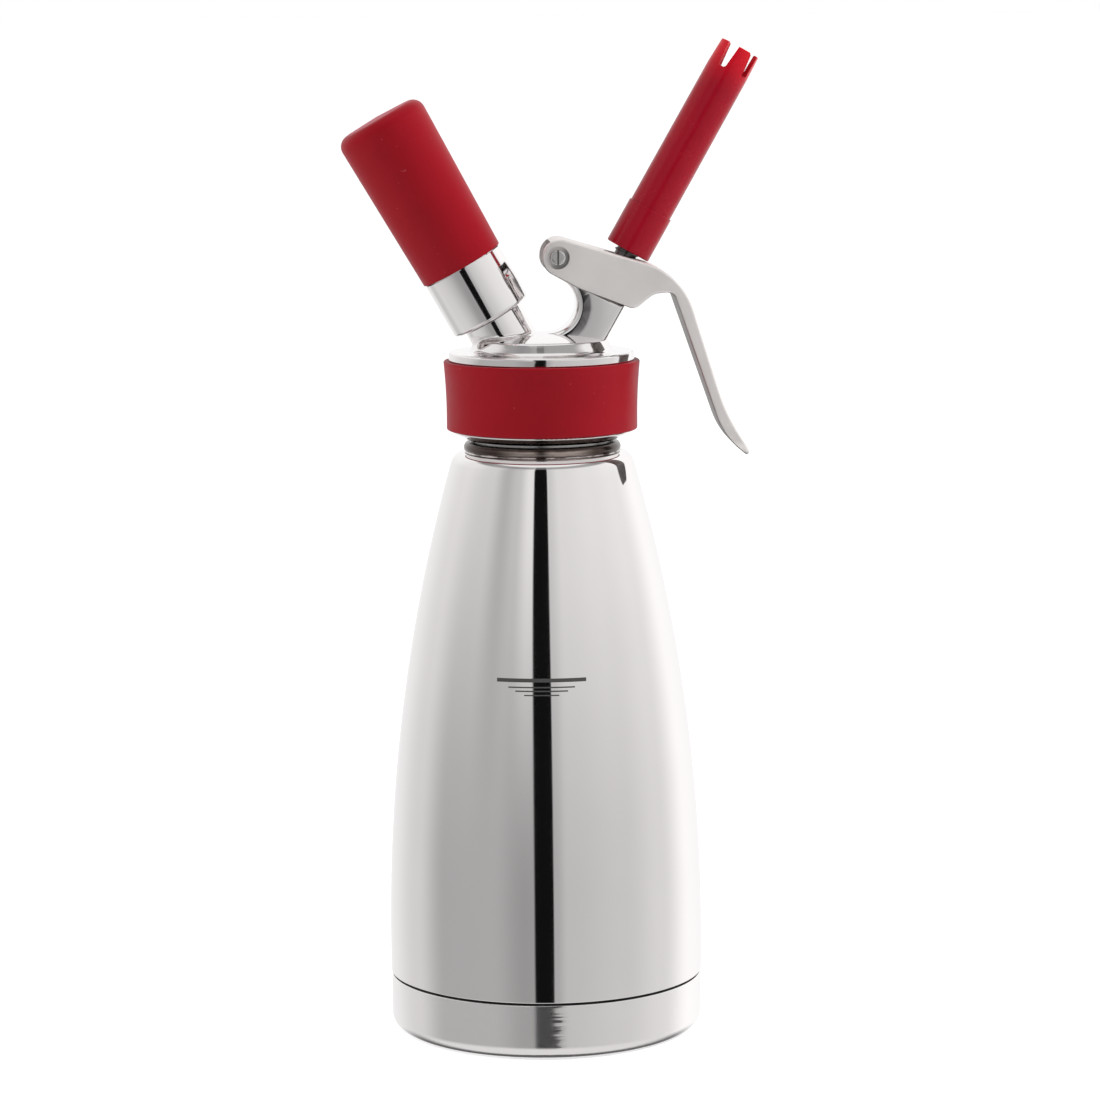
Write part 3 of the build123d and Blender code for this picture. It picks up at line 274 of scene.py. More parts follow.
def shell_outline(sizes):
    """The outer shell's half section, outside upward and inside down again."""
    reach = sizes.body_radius - sizes.neck_radius - sizes.neck_fillet
    rise = sizes.shoulder_height - sizes.shoulder_round - sizes.straight_top
    bow = (reach**2 + rise**2 - sizes.shoulder_round**2) / (2 * (reach - sizes.shoulder_round))
    sweep = math.asin(rise / (bow - sizes.shoulder_round))
    bead_round = (SHELL_HIGH.z - sizes.bead_foot) / 2
    bead_angle = math.asin((sizes.bead_foot + bead_round - sizes.shoulder_height) / bead_round)
    bead_start = sizes.bead_radius - bead_round * (1 - math.cos(bead_angle))
    bead_corner = sizes.shoulder_height + (sizes.bead_radius - bead_start) / math.tan(bead_angle)
    bead = [
        (bead_start, sizes.shoulder_height),
        (sizes.bead_radius, bead_corner, bead_round),
        (sizes.bead_radius, SHELL_HIGH.z, bead_round),
    ]
    outline = []
    for inset in (0.0, sizes.wall):
        bow_reach = (bow - inset) * math.tan(sweep / 2)
        round_reach = (sizes.shoulder_round - inset) * math.tan((math.pi / 2 - sweep) / 2)
        edge = Vector((sizes.body_radius - inset, sizes.straight_top + bow_reach))
        brow = edge + Vector((-math.sin(sweep), math.cos(sweep))) * (bow_reach + round_reach)
        side = [
            (sizes.skirt_radius - inset, SHELL_LOW.z),
            (sizes.skirt_radius - inset, sizes.seam_top + inset),
            (sizes.body_radius - inset, sizes.seam_top + inset, 0 if inset else sizes.seam_round),
            (edge.x, edge.y, bow - inset),
            (brow.x, brow.y, sizes.shoulder_round - inset),
        ]
        neck = [
            (sizes.neck_radius - inset, sizes.shoulder_height - inset, sizes.neck_fillet),
            (sizes.neck_radius - inset, SHELL_HIGH.z),
        ]
        outline += reversed(side + neck) if inset else side + bead
    return outline


def cup_outline(sizes):
    """The base cup's half section, from the middle of its underside to the middle of its floor."""
    radius = CUP_HIGH.x
    bore = radius - sizes.cup_wall
    foot = radius - sizes.cup_round - sizes.foot_width
    middle = foot - sizes.foot_recess
    return [
        (0, sizes.foot_recess),
        (middle, sizes.foot_recess),
        (foot, 0),
        (radius, 0, sizes.cup_round),
        (radius, CUP_HIGH.z, sizes.seam_round),
        (bore, CUP_HIGH.z),
        (bore, sizes.cup_wall, sizes.cup_round - sizes.cup_wall),
        (foot, sizes.cup_wall),
        (middle, sizes.foot_recess + sizes.cup_wall),
        (0, sizes.foot_recess + sizes.cup_wall),
    ]


def leaning_place(joint):
    """The matrix that stands a turned piece on a leaning joint axis."""
    axis = Vector(joint["axis"]).normalized()
    sideways = Vector((0, 1, 0))
    outward = sideways.cross(axis)
    turn = Matrix((outward, sideways, axis)).transposed().to_4x4()
    return Matrix.Translation(joint["pos_m"]) @ turn


def turned(corners, steps, place=None):
    """A turned piece from a half section."""
    bm = bmesh.new()
    draw_outline(bm, corners)
    bmesh.ops.spin(
        bm,
        geom=bm.verts[:] + bm.edges[:],
        cent=(0, 0, 0),
        axis=(0, 0, 1),
        angle=math.tau,
        steps=steps,
        use_merge=True,
        use_duplicate=False,
    )
    bmesh.ops.remove_doubles(bm, verts=bm.verts, dist=MERGE_DISTANCE)
    bmesh.ops.recalc_face_normals(bm, faces=bm.faces)
    if place is not None:
        bmesh.ops.transform(bm, matrix=place, verts=bm.verts)
    return bm


def merged_copy(node):
    """A copy of a node's mesh with its loose triangles merged."""
    bm = bmesh.new()
    bm.from_mesh(frame["nodes"][node].data)
    bmesh.ops.remove_doubles(bm, verts=bm.verts, dist=MERGE_DISTANCE)
    return bm


def finish_piece(bm, node, material, weighted=False):
    """Turn a bmesh into the shown piece that stands for a node."""
    for face in bm.faces:
        face.smooth = True
    for edge in bm.edges:
        edge.smooth = edge.calc_face_angle(0) < SHARP_ANGLE
    mesh = bpy.data.meshes.new(f"{node}_finish")
    bm.to_mesh(mesh)
    bm.free()
    mesh.materials.append(material)
    piece = bpy.data.objects.new(f"{node}_finish", mesh)
    bpy.context.scene.collection.objects.link(piece)
    if weighted:
        normals = piece.modifiers.new("even_normals", "WEIGHTED_NORMAL")
        normals.keep_sharp = True
    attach(piece, frame["nodes"][node]["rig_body"])
    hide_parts(node)
    return piece


def dress(node, material):
    """Show a node as a smooth copy with its finish."""
    return finish_piece(merged_copy(node), node, material, weighted=True)


def squash_spring(spring):
    """Give a spring its own copy of its mesh."""
    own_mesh(spring)


# Finishes


def new_finish(name):
    """An empty node material with its shader."""
    material = bpy.data.materials.new(name)
    material.use_nodes = True
    return material, material.node_tree, material.node_tree.nodes["Principled BSDF"]


def node_of(tree, kind, **sockets):
    """A shader node with some of its input values set by name."""
    node = tree.nodes.new(kind)
    for name, value in sockets.items():
        node.inputs[name.replace("_", " ")].default_value = value
    return node


def maths(tree, operation, first, second=None, third=None):
    """The result of a maths node on links or numbers."""
    node = tree.nodes.new("ShaderNodeMath")
    node.operation = operation
    for socket, value in zip(node.inputs, (first, second, third)):
        if isinstance(value, bpy.types.NodeSocket):
            tree.links.new(value, socket)
        elif value is not None:
            socket.default_value = value
    return node.outputs[0]


def place_on_piece(tree, scale=(1, 1, 1), turn=0.0):
    """Object coordinates, scaled or turned about the upright axis."""
    coordinates = tree.nodes.new("ShaderNodeTexCoord")
    mapping = tree.nodes.new("ShaderNodeMapping")
    mapping.inputs["Scale"].default_value = scale
    mapping.inputs["Rotation"].default_value = (0, 0, turn)
    tree.links.new(coordinates.outputs["Object"], mapping.inputs["Vector"])
    return mapping.outputs["Vector"]


def parts_of(tree, vector):
    """The X, Y and Z of a vector."""
    parts = tree.nodes.new("ShaderNodeSeparateXYZ")
    tree.links.new(vector, parts.inputs["Vector"])
    return parts.outputs["X"], parts.outputs["Y"], parts.outputs["Z"]


def reach_along(tree, vector, direction):
    """How far a vector reaches in one direction."""
    product = tree.nodes.new("ShaderNodeVectorMath")
    product.operation = "DOT_PRODUCT"
    product.inputs[1].default_value = direction
    tree.links.new(vector, product.inputs[0])
    return product.outputs["Value"]


def distance_of(tree, across, upward):
    """The distance that two lengths at a right angle make."""
    squares = maths(tree, "MULTIPLY_ADD", across, across, maths(tree, "MULTIPLY", upward, upward))
    return maths(tree, "SQRT", squares)


def grain(tree, scale, detail=3.0, stretch=(1, 1, 1)):
    """Noise fixed to the piece."""
    noise = node_of(tree, "ShaderNodeTexNoise", Scale=scale, Detail=detail)
    tree.links.new(place_on_piece(tree, stretch), noise.inputs["Vector"])
    return noise.outputs["Fac"]


def ranged(tree, value, low, high, start=0.3, stop=0.7):
    """A value spread between two results."""
    spread = node_of(
        tree, "ShaderNodeMapRange", From_Min=start, From_Max=stop, To_Min=low, To_Max=high
    )
    tree.links.new(value, spread.inputs["Value"])
    return spread.outputs["Result"]


def mixed_colour(tree, factor, first, second):
    """A colour between two, by a factor."""
    mix = tree.nodes.new("ShaderNodeMix")
    mix.data_type = "RGBA"
    tree.links.new(factor, mix.inputs[0])
    for socket, value in ((mix.inputs[6], first), (mix.inputs[7], second)):
        if isinstance(value, bpy.types.NodeSocket):
            tree.links.new(value, socket)
        else:
            socket.default_value = (*value, 1)
    return mix.outputs[2]


def mixed_value(tree, factor, first, second):
    """A number between two, by a factor."""
    mix = tree.nodes.new("ShaderNodeMix")
    tree.links.new(factor, mix.inputs[0])
    for socket, value in ((mix.inputs[2], first), (mix.inputs[3], second)):
        if isinstance(value, bpy.types.NodeSocket):
            tree.links.new(value, socket)
        else:
            socket.default_value = value
    return mix.outputs[0]


def soft_step(tree, value, start, stop):
    """A smooth step of a value between two limits."""
    step = node_of(tree, "ShaderNodeMapRange", From_Min=start, From_Max=stop)
    step.interpolation_type = "SMOOTHSTEP"
    tree.links.new(value, step.inputs["Value"])
    return step.outputs["Result"]


def relief(tree, shader, *layers):
    """Bump layers of height, depth in metres, stacked on the shader's normal."""
    below = None
    for height, depth in layers:
        bump = node_of(tree, "ShaderNodeBump", Strength=1.0, Distance=depth)
        tree.links.new(height, bump.inputs["Height"])
        if below is not None:
            tree.links.new(below, bump.inputs["Normal"])
        below = bump.outputs["Normal"]
    tree.links.new(below, shader.inputs["Normal"])


def toned(tint, share):
    """A tint made darker or lighter."""
    return tuple(min(1.0, part * share) for part in tint)


def mottle(tree, shader, pattern, tint, darkest, lightest):
    """Give the shader a tint that varies with a pattern."""
    varied = mixed_colour(tree, pattern, toned(tint, darkest), toned(tint, lightest))
    tree.links.new(varied, shader.inputs["Base Color"])


def roughen(tree, shader, pattern, smooth, rough, **span):
    """Give the shader a roughness that varies with a pattern."""
    tree.links.new(ranged(tree, pattern, smooth, rough, **span), shader.inputs["Roughness"])


def polished_steel(name, tint, smooth, rough, wave, metallic=1.0):
    """Mirror steel with faint polishing marks and a slow waviness."""
    material, tree, shader = new_finish(name)
    shader.inputs["Metallic"].default_value = metallic
    haze = grain(tree, 45.0, 4.0)
    mottle(tree, shader, haze, tint, 0.98, 1.02)
    roughen(tree, shader, haze, smooth, rough)
    marks = grain(tree, 60.0, 2.0, (1, 1, 40))
    relief(tree, shader, (grain(tree, 14.0, 1.0), wave), (marks, 2e-7))
    return material


def lay_over(material, mask, tint, roughness, metallic):
    """Cover a steel finish with another one where a mask is set."""
    tree = material.node_tree
    shader = tree.nodes["Principled BSDF"]
    steel_colour = shader.inputs["Base Color"].links[0].from_socket
    steel_rough = shader.inputs["Roughness"].links[0].from_socket
    tree.links.new(mixed_colour(tree, mask, steel_colour, tint), shader.inputs["Base Color"])
    tree.links.new(mixed_value(tree, mask, steel_rough, roughness), shader.inputs["Roughness"])
    below = shader.inputs["Metallic"]
    steel_metal = below.links[0].from_socket if below.links else below.default_value
    tree.links.new(mixed_value(tree, mask, steel_metal, metallic), below)


# Height, half width and half thickness of each line
FILL_LINES = (
    (0.1223, 0.0142, 0.0006),
    (0.1201, 0.0106, 0.00022),
    (0.1189, 0.0084, 0.00022),
    (0.1176, 0.0056, 0.0002),
)
FILL_CENTRE = -0.0008


def add_fill_mark(material, etching, facing):
    """Etch the lines of a fill mark into the front of the shell."""
    tree = material.node_tree
    across, depth, height = parts_of(tree, place_on_piece(tree, turn=-facing))
    mark = None
    for line_height, half_width, half_thickness in FILL_LINES:
        level = maths(tree, "COMPARE", height, line_height, half_thickness)
        width = maths(tree, "COMPARE", across, FILL_CENTRE, half_width)
        line = maths(tree, "MULTIPLY", level, width)
        mark = line if mark is None else maths(tree, "MAXIMUM", mark, line)
    front = maths(tree, "LESS_THAN", depth, 0.0)
    lay_over(material, maths(tree, "MULTIPLY", mark, front), etching, roughness=0.55, metallic=0.0)


BEAD_EDGE = 4e-4
BEAD_UNEVEN = 2e-4
# Where the bead's painted shade sets in, as shares of the bead's half height and of its radius
BEAD_SHADE_UPWARD = (0.1, 0.7)
BEAD_SHADE_SIDEWAYS = (0.3, 0.65)
SEAM_DEPTH = 4e-4
SEAM_EDGE = 1e-4


def add_neck_and_seam(material, sizes, finish):
    """Paint shade and a lighter reflection on the bead round the neck, and shade into the groove of the seam.
    """
    tree = material.node_tree
    across, depth, level = parts_of(tree, place_on_piece(tree))
    uneven = ranged(tree, grain(tree, 220.0, 3.0, (1, 1, 0.2)), -BEAD_UNEVEN, BEAD_UNEVEN)
    height = maths(tree, "ADD", level, uneven)
    bead = soft_step(tree, height, sizes.shoulder_height, sizes.shoulder_height + BEAD_EDGE)
    bead_round = (SHELL_HIGH.z - sizes.bead_foot) / 2
    off_middle = maths(tree, "ABSOLUTE", maths(tree, "SUBTRACT", height, sizes.bead_foot + bead_round))
    off_front = maths(tree, "ABSOLUTE", across)
    # Painted shade towards the bead's top, bottom and sides, and a lighter painted reflection across its
    # middle at the front
    bead_shading = maths(
        tree, "MAXIMUM",
        soft_step(tree, off_middle, *(share * bead_round for share in BEAD_SHADE_UPWARD)),
        soft_step(tree, off_front, *(share * sizes.bead_radius for share in BEAD_SHADE_SIDEWAYS)),
    )
    painted_bead = mixed_colour(tree, bead_shading, finish.bead_highlight, finish.bead_shade)
    lay_over(material, bead, painted_bead, roughness=0.22, metallic=1.0)
    # Painted shade on the groove's floor inside the seam
    inside = maths(tree, "LESS_THAN", distance_of(tree, across, depth), sizes.body_radius - SEAM_DEPTH)
    low = maths(tree, "LESS_THAN", level, sizes.seam_top + SEAM_EDGE)
    lay_over(material, maths(tree, "MULTIPLY", inside, low), finish.seam_shade, roughness=0.7, metallic=0.0)


def lean_normals(material, lean):
    """Lean the normals of a polished finish by a small vector on the piece."""
    tree = material.node_tree
    to_world = tree.nodes.new("ShaderNodeVectorTransform")
    to_world.vector_type = "VECTOR"
    to_world.convert_from = "OBJECT"
    to_world.convert_to = "WORLD"
    tree.links.new(lean, to_world.inputs["Vector"])
    surface = tree.nodes.new("ShaderNodeNewGeometry")
    leaning = tree.nodes.new("ShaderNodeVectorMath")
    tree.links.new(surface.outputs["Normal"], leaning.inputs[0])
    tree.links.new(to_world.outputs["Vector"], leaning.inputs[1])
    unit = tree.nodes.new("ShaderNodeVectorMath")
    unit.operation = "NORMALIZE"
    tree.links.new(leaning.outputs["Vector"], unit.inputs[0])
    marks = tree.nodes["Principled BSDF"].inputs["Normal"].links[0].from_node
    wave = marks.inputs["Normal"].links[0].from_node
    tree.links.new(unit.outputs["Vector"], wave.inputs["Normal"])


STREAK_LEAN = -0.06
STREAK_START = 0.001
STREAK_FADE = 0.004
STREAK_END = 0.008


def streak_cup(material, facing):
    """Leave a patch of level buffing streaks on the front of the base cup."""
    tree = material.node_tree
    across, depth, _ = parts_of(tree, place_on_piece(tree, turn=-facing))
    streak = ranged(tree, grain(tree, 250.0, 2.0, (0.12, 0.12, 4)), 0.0, 1.0, start=0.44, stop=0.6)
    patch = maths(
        tree, "MULTIPLY",
        soft_step(tree, across, 0.0, STREAK_START),
        soft_step(tree, across, STREAK_END, STREAK_FADE),
    )
    patch = maths(tree, "MULTIPLY", patch, maths(tree, "LESS_THAN", depth, 0.0))
    strength = maths(tree, "MULTIPLY", maths(tree, "MULTIPLY", streak, patch), STREAK_LEAN)
    lean = tree.nodes.new("ShaderNodeCombineXYZ")
    tree.links.new(strength, lean.inputs["X"])
    lean_normals(material, lean.outputs["Vector"])


# Bend of the tower's buffed faces, in radians for each metre, and its least tilt
CROWN_BEND = 12.0
CROWN_LEAST = -0.018
CROWN_FACING = (0.97, 0.995)


def crown_tower_faces(material, sizes):
    """Let the tower's flat faces bulge a little, as buffing by hand leaves them."""
    tree = material.node_tree
    coordinates = tree.nodes.new("ShaderNodeTexCoord")
    across, depth, height = parts_of(tree, coordinates.outputs["Object"])
    _, facing, _ = parts_of(tree, coordinates.outputs["Normal"])
    across = maths(tree, "SUBTRACT", across, sizes.hollow_offset)
    upward = maths(tree, "SUBTRACT", height, sizes.hollow_height)
    distance = distance_of(tree, across, upward)
    bulge = maths(tree, "MULTIPLY", maths(tree, "SUBTRACT", distance, sizes.crown_line), CROWN_BEND)
    bulge = maths(tree, "MAXIMUM", bulge, CROWN_LEAST)
    flat = soft_step(tree, maths(tree, "ABSOLUTE", facing), *CROWN_FACING)
    near = maths(tree, "LESS_THAN", maths(tree, "ABSOLUTE", depth), sizes.crown_reach)
    tilt = maths(tree, "MULTIPLY", bulge, maths(tree, "MULTIPLY", flat, near))
    share = maths(tree, "DIVIDE", tilt, distance)
    lean = tree.nodes.new("ShaderNodeCombineXYZ")
    tree.links.new(maths(tree, "MULTIPLY", across, share), lean.inputs["X"])
    tree.links.new(maths(tree, "MULTIPLY", upward, share), lean.inputs["Z"])
    lean_normals(material, lean.outputs["Vector"])


def satin_steel(name, tint):
    """Bead-blasted steel with a fine even grain and softly worn patches."""
    material, tree, shader = new_finish(name)
    shader.inputs["Metallic"].default_value = 0.88
    patches = grain(tree, 70.0, 4.0)
    mottle(tree, shader, patches, tint, 0.92, 1.06)
    roughen(tree, shader, patches, 0.44, 0.54)
    relief(tree, shader, (grain(tree, 2600.0, 2.0), 1.2e-5))
    return material


# Painted shade on the lever: faces turned down, the end past the pivot, and the lee side of the recess round
# the screw
UNDERSIDE = (-0.75, 0.0, -0.66)
UNDERSIDE_EDGE = (0.4, 0.85)
END_SHADE = 0.2
END_REACH = 0.008
SUNK_SHADE = 0.85
SUNK_RADIUS = 0.0037
SUNK_EDGE = 2e-4
SUNK_LEE = (0.8, -0.6)
SUNK_LEE_EDGE = (-0.6, 0.7)


def shade_lever(material, painted_shade, pivot):
    """Darken the lever's underside, its end at the pivot and the sunk face round the screw with painted
    shade.
    """
    tree = material.node_tree
    skin = tree.nodes["Principled BSDF"].inputs["Base Color"]
    coordinates = tree.nodes.new("ShaderNodeTexCoord")
    downward = reach_along(tree, coordinates.outputs["Normal"], UNDERSIDE)
    under = soft_step(tree, downward, *UNDERSIDE_EDGE)
    across, _, height = parts_of(tree, coordinates.outputs["Object"])
    across = maths(tree, "SUBTRACT", across, pivot[0])
    upward = maths(tree, "SUBTRACT", height, pivot[2])
    distance = distance_of(tree, across, upward)
    lee = maths(tree, "MULTIPLY_ADD", across, SUNK_LEE[0], maths(tree, "MULTIPLY", upward, SUNK_LEE[1]))
    sunk = maths(
        tree, "MULTIPLY",
        soft_step(tree, maths(tree, "DIVIDE", lee, distance), *SUNK_LEE_EDGE),
        ranged(tree, distance, SUNK_SHADE, 0.0, start=SUNK_RADIUS, stop=SUNK_RADIUS + SUNK_EDGE),
    )
    end = ranged(tree, across, END_SHADE, 0.0, start=-END_REACH, stop=END_REACH)
    # The painted shade is the darkest of the three masks
    shaded = maths(tree, "MAXIMUM", maths(tree, "MAXIMUM", under, sunk), end)
    tree.links.new(mixed_colour(tree, shaded, skin.links[0].from_socket, painted_shade), skin)


# Depth behind the screw's face over which the painted shade of its slot sets in
SLOT_EDGE = (1.5e-4, 5e-4)


def shade_screw_slot(material, painted_shade, face):
    """Paint shade into the screw's slot and onto the side of its head, behind the front face."""
    tree = material.node_tree
    _, depth, _ = parts_of(tree, place_on_piece(tree))
    behind = soft_step(tree, depth, *(face + edge for edge in SLOT_EDGE))
    lay_over(material, behind, painted_shade, roughness=0.4, metallic=1.0)


def turned_steel(name, tint):
    """Plain machined steel with fine tool marks."""
    material, tree, shader = new_finish(name)
    shader.inputs["Metallic"].default_value = 1.0
    patches = grain(tree, 120.0, 3.0)
    mottle(tree, shader, patches, tint, 0.9, 1.05)
    roughen(tree, shader, patches, 0.22, 0.34)
    relief(tree, shader, (grain(tree, 300.0, 2.0, (1, 1, 12)), 2e-6))
    return material


SPECK_COLOUR = (0.5, 0.12, 0.15)
SPECK_STRENGTH = 0.2
SILICONE_SHEEN = (1.0, 0.42, 0.52, 1)


def red_silicone(name, tint):
    """Matte silicone with a powdery sheen, a fine moulded grain and a few specks of dust."""
    material, tree, shader = new_finish(name)
    shader.inputs["Specular IOR Level"].default_value = 0.12
    shader.inputs["Sheen Weight"].default_value = 0.16
    shader.inputs["Sheen Roughness"].default_value = 0.3
    shader.inputs["Sheen Tint"].default_value = SILICONE_SHEEN
    bloom = grain(tree, 90.0, 5.0)
    skin = mixed_colour(tree, bloom, toned(tint, 0.93), toned(tint, 1.07))
    specks = ranged(tree, grain(tree, 900.0, 0.0), 0.0, SPECK_STRENGTH, start=0.84, stop=0.88)
    tree.links.new(mixed_colour(tree, specks, skin, SPECK_COLOUR), shader.inputs["Base Color"])
    roughen(tree, shader, bloom, 0.42, 0.52)
    relief(tree, shader, (grain(tree, 1800.0, 3.0), 1.5e-5))
    return material


def red_plastic(name, tint, thin_tint, thin_start, thin_end):
    """Moulded plastic with a soft gloss, slightly uneven, and lighter with painted light where it is thin."""
    material, tree, shader = new_finish(name)
    shader.inputs["Specular IOR Level"].default_value = 0.2
    swirl = grain(tree, 140.0, 3.0)
    skin = mixed_colour(tree, swirl, toned(tint, 0.94), toned(tint, 1.06))
    outward = reach_along(tree, place_on_piece(tree), TIP_JOINT["axis"])
    # Painted light through the thin mouth, growing towards its end
    thin = soft_step(tree, outward, thin_start, thin_end)
    tree.links.new(mixed_colour(tree, thin, skin, thin_tint), shader.inputs["Base Color"])
    roughen(tree, shader, swirl, 0.22, 0.3, start=0.1, stop=0.9)
    relief(tree, shader, (grain(tree, 160.0, 1.0), 3e-6), (grain(tree, 2400.0, 2.0), 8e-7))
    return material


def soft_seal(name, tint):
    """Dull seal rubber with a dusty bloom."""
    material, tree, shader = new_finish(name)
    bloom = grain(tree, 200.0, 4.0)
    mottle(tree, shader, bloom, tint, 0.8, 1.3)
    roughen(tree, shader, bloom, 0.55, 0.75)
    relief(tree, shader, (grain(tree, 1500.0, 2.0), 1e-5))
    return material


def white_plastic(name, tint):
    """Waxy bearing plastic."""
    material, tree, shader = new_finish(name)
    cloud = grain(tree, 160.0, 3.0)
    mottle(tree, shader, cloud, tint, 0.95, 1.04)
    roughen(tree, shader, cloud, 0.35, 0.5)
    relief(tree, shader, (grain(tree, 900.0, 2.0), 5e-6))
    return material


def finish_named(name, maker, **settings):
    """A finish that several pieces share, made once."""
    return bpy.data.materials.get(name) or maker(name, **settings)


def machined_steel(finish):
    """The finish of the plain pieces inside."""
    return finish_named("machined_steel", turned_steel, tint=finish.plain)


def drawn_steel(finish):
    """The finish of the bright small pieces."""
    return finish_named("drawn_steel", polished_steel, tint=finish.steel, smooth=0.12, rough=0.2, wave=2e-5)


def dull_rubber(finish):
    """The finish of the seals."""
    return finish_named("dull_rubber", soft_seal, tint=finish.rubber)


def moulded_silicone(finish):
    """The finish of the grip ring and the sleeve."""
    return finish_named("moulded_silicone", red_silicone, tint=finish.silicone)


# Operators


class SIPHON_OT_bottle(bpy.types.Operator):
    """Turn the outer shell and base cup, and finish the walls inside"""

    bl_idname = "siphon.bottle"
    bl_label = "Bottle"

    def execute(self, context):
        sizes = context.scene.siphon_bottle
        finish = context.scene.siphon_finish
        facing = context.scene.siphon_stage.bearing
        shell = finish_named(
            "mirror_shell", polished_steel, tint=finish.steel, smooth=0.035, rough=0.06, wave=1.2e-4
        )
        add_neck_and_seam(shell, sizes, finish)
        add_fill_mark(shell, finish.etching, facing)
        finish_piece(turned(shell_outline(sizes), sizes.steps), "outer_shell", shell)
        cup = finish_named(
            "buffed_cup",
            polished_steel,
            tint=finish.steel,
            smooth=0.09,
            rough=0.14,
            wave=1e-4,
            metallic=0.94,
        )
        streak_cup(cup, facing)
        finish_piece(turned(cup_outline(sizes), sizes.steps), "base_cup", cup)
        for node in ("inner_vessel", "neck_ring", "vacuum_plate"):
            dress(node, machined_steel(finish))
        return {"FINISHED"}


class SIPHON_OT_head(bpy.types.Operator):
    """Finish the head casting and turn its grip ring"""

    bl_idname = "siphon.head"
    bl_label = "Head"

    def execute(self, context):
        sizes = context.scene.siphon_head
        steps = context.scene.siphon_bottle.steps
        finish = context.scene.siphon_finish
        steel = finish_named(
            "mirror_casting", polished_steel, tint=finish.steel, smooth=0.05, rough=0.09, wave=5e-5
        )
        crown_tower_faces(steel, sizes)
        dress("head_casting", steel)
        ring = [
            (sizes.ring_bore, RING_LOW.z),
            (sizes.ring_foot, RING_LOW.z, sizes.ring_round),
            (sizes.ring_foot, sizes.ring_flare, sizes.ring_flare_round),
            (RING_HIGH.x, RING_HIGH.z, sizes.ring_round),
            (sizes.ring_bore, RING_HIGH.z),
        ]
        finish_piece(turned(ring, steps), "head_grip_ring", moulded_silicone(finish))
        dress("head_gasket", dull_rubber(finish))
        return {"FINISHED"}


class SIPHON_OT_charger_holder(bpy.types.Operator):
    """Finish the charger holder, the charger and the charging valve"""

    bl_idname = "siphon.charger_holder"
    bl_label = "Charger holder"

    def execute(self, context):
        sizes = context.scene.siphon_head
        finish = context.scene.siphon_finish
        steps = context.scene.siphon_bottle.steps
        steel = finish_named(
            "mirror_head", polished_steel, tint=finish.steel, smooth=0.05, rough=0.09, wave=5e-5
        )
        dress("holder_core", steel)
        sleeve = [
            (0, sizes.sleeve_floor),
            (sizes.sleeve_bore, sizes.sleeve_floor),
            (sizes.sleeve_bore, sizes.sleeve_foot),
            (sizes.sleeve_foot_radius, sizes.sleeve_foot, sizes.ring_round),
            (sizes.sleeve_radius, sizes.sleeve_end, sizes.sleeve_round),
            (0, sizes.sleeve_end + sizes.sleeve_crown),
        ]
        turned_sleeve = turned(sleeve, steps, leaning_place(HOLDER_JOINT))
        finish_piece(turned_sleeve, "holder_sleeve", moulded_silicone(finish))
        bright = drawn_steel(finish)
        dress("gas_charger", bright)
        dress("check_ball", bright)
        for node in ("piercing_pin", "gas_screw"):
            dress(node, machined_steel(finish))
        dress("charger_seal", dull_rubber(finish))
        spring = dress("check_spring", bright)
        squash_spring(spring)
        return {"FINISHED"}


class SIPHON_OT_valve(bpy.types.Operator):
    """Finish the dispensing valve"""

    bl_idname = "siphon.valve"
    bl_label = "Valve"

    def execute(self, context):
        finish = context.scene.siphon_finish
        liner = finish_named("bearing_plastic", white_plastic, tint=finish.liner)
        # The valve stem's dark colour is painted shade
        dress("valve_stem", finish_named("dark_stem", turned_steel, tint=finish.stem))
        dress("gasket_nut", machined_steel(finish))
        dress("thrust_collar", drawn_steel(finish))
        dress("guide_bush", liner)
        dress("stem_o_ring", dull_rubber(finish))
        dress("valve_gasket", dull_rubber(finish))
        spring = dress("valve_spring", drawn_steel(finish))
        squash_spring(spring)
        return {"FINISHED"}


class SIPHON_OT_lever(bpy.types.Operator):
    """Finish the lever and its pivot"""

    bl_idname = "siphon.lever"
    bl_label = "Lever"

    def execute(self, context):
        finish = context.scene.siphon_finish
        satin = finish_named("blasted_steel", satin_steel, tint=finish.satin)
        shade_lever(satin, finish.painted_shade, joint_named("lever_pull")["pos_m"])
        dress("lever", satin)
        screw = finish_named(
            "burnished_screw", polished_steel, tint=finish.steel, smooth=0.22, rough=0.3, wave=2e-5
        )
        shade_screw_slot(screw, finish.painted_shade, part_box("pivot_screw")[0].y)
        dress("pivot_screw", screw)
        dress("pivot_nut", drawn_steel(finish))
        return {"FINISHED"}


class SIPHON_OT_tip(bpy.types.Operator):
    """Finish the decorator tip and its threaded insert"""

    bl_idname = "siphon.tip"
    bl_label = "Decorator tip"

    def execute(self, context):
        finish = context.scene.siphon_finish
        axis = Vector(TIP_JOINT["axis"])
        mouth = max(axis.dot(vertex.co) for vertex in frame["nodes"]["decorator_tip"].data.vertices)
        plastic = finish_named(
            "moulded_plastic",
            red_plastic,
            tint=finish.plastic,
            thin_tint=finish.mouth_glow,
            thin_start=mouth - context.scene.siphon_head.thin_mouth,
            thin_end=mouth,
        )
        dress("decorator_tip", plastic)
        dress("tip_insert", machined_steel(finish))
        return {"FINISHED"}


# Stage

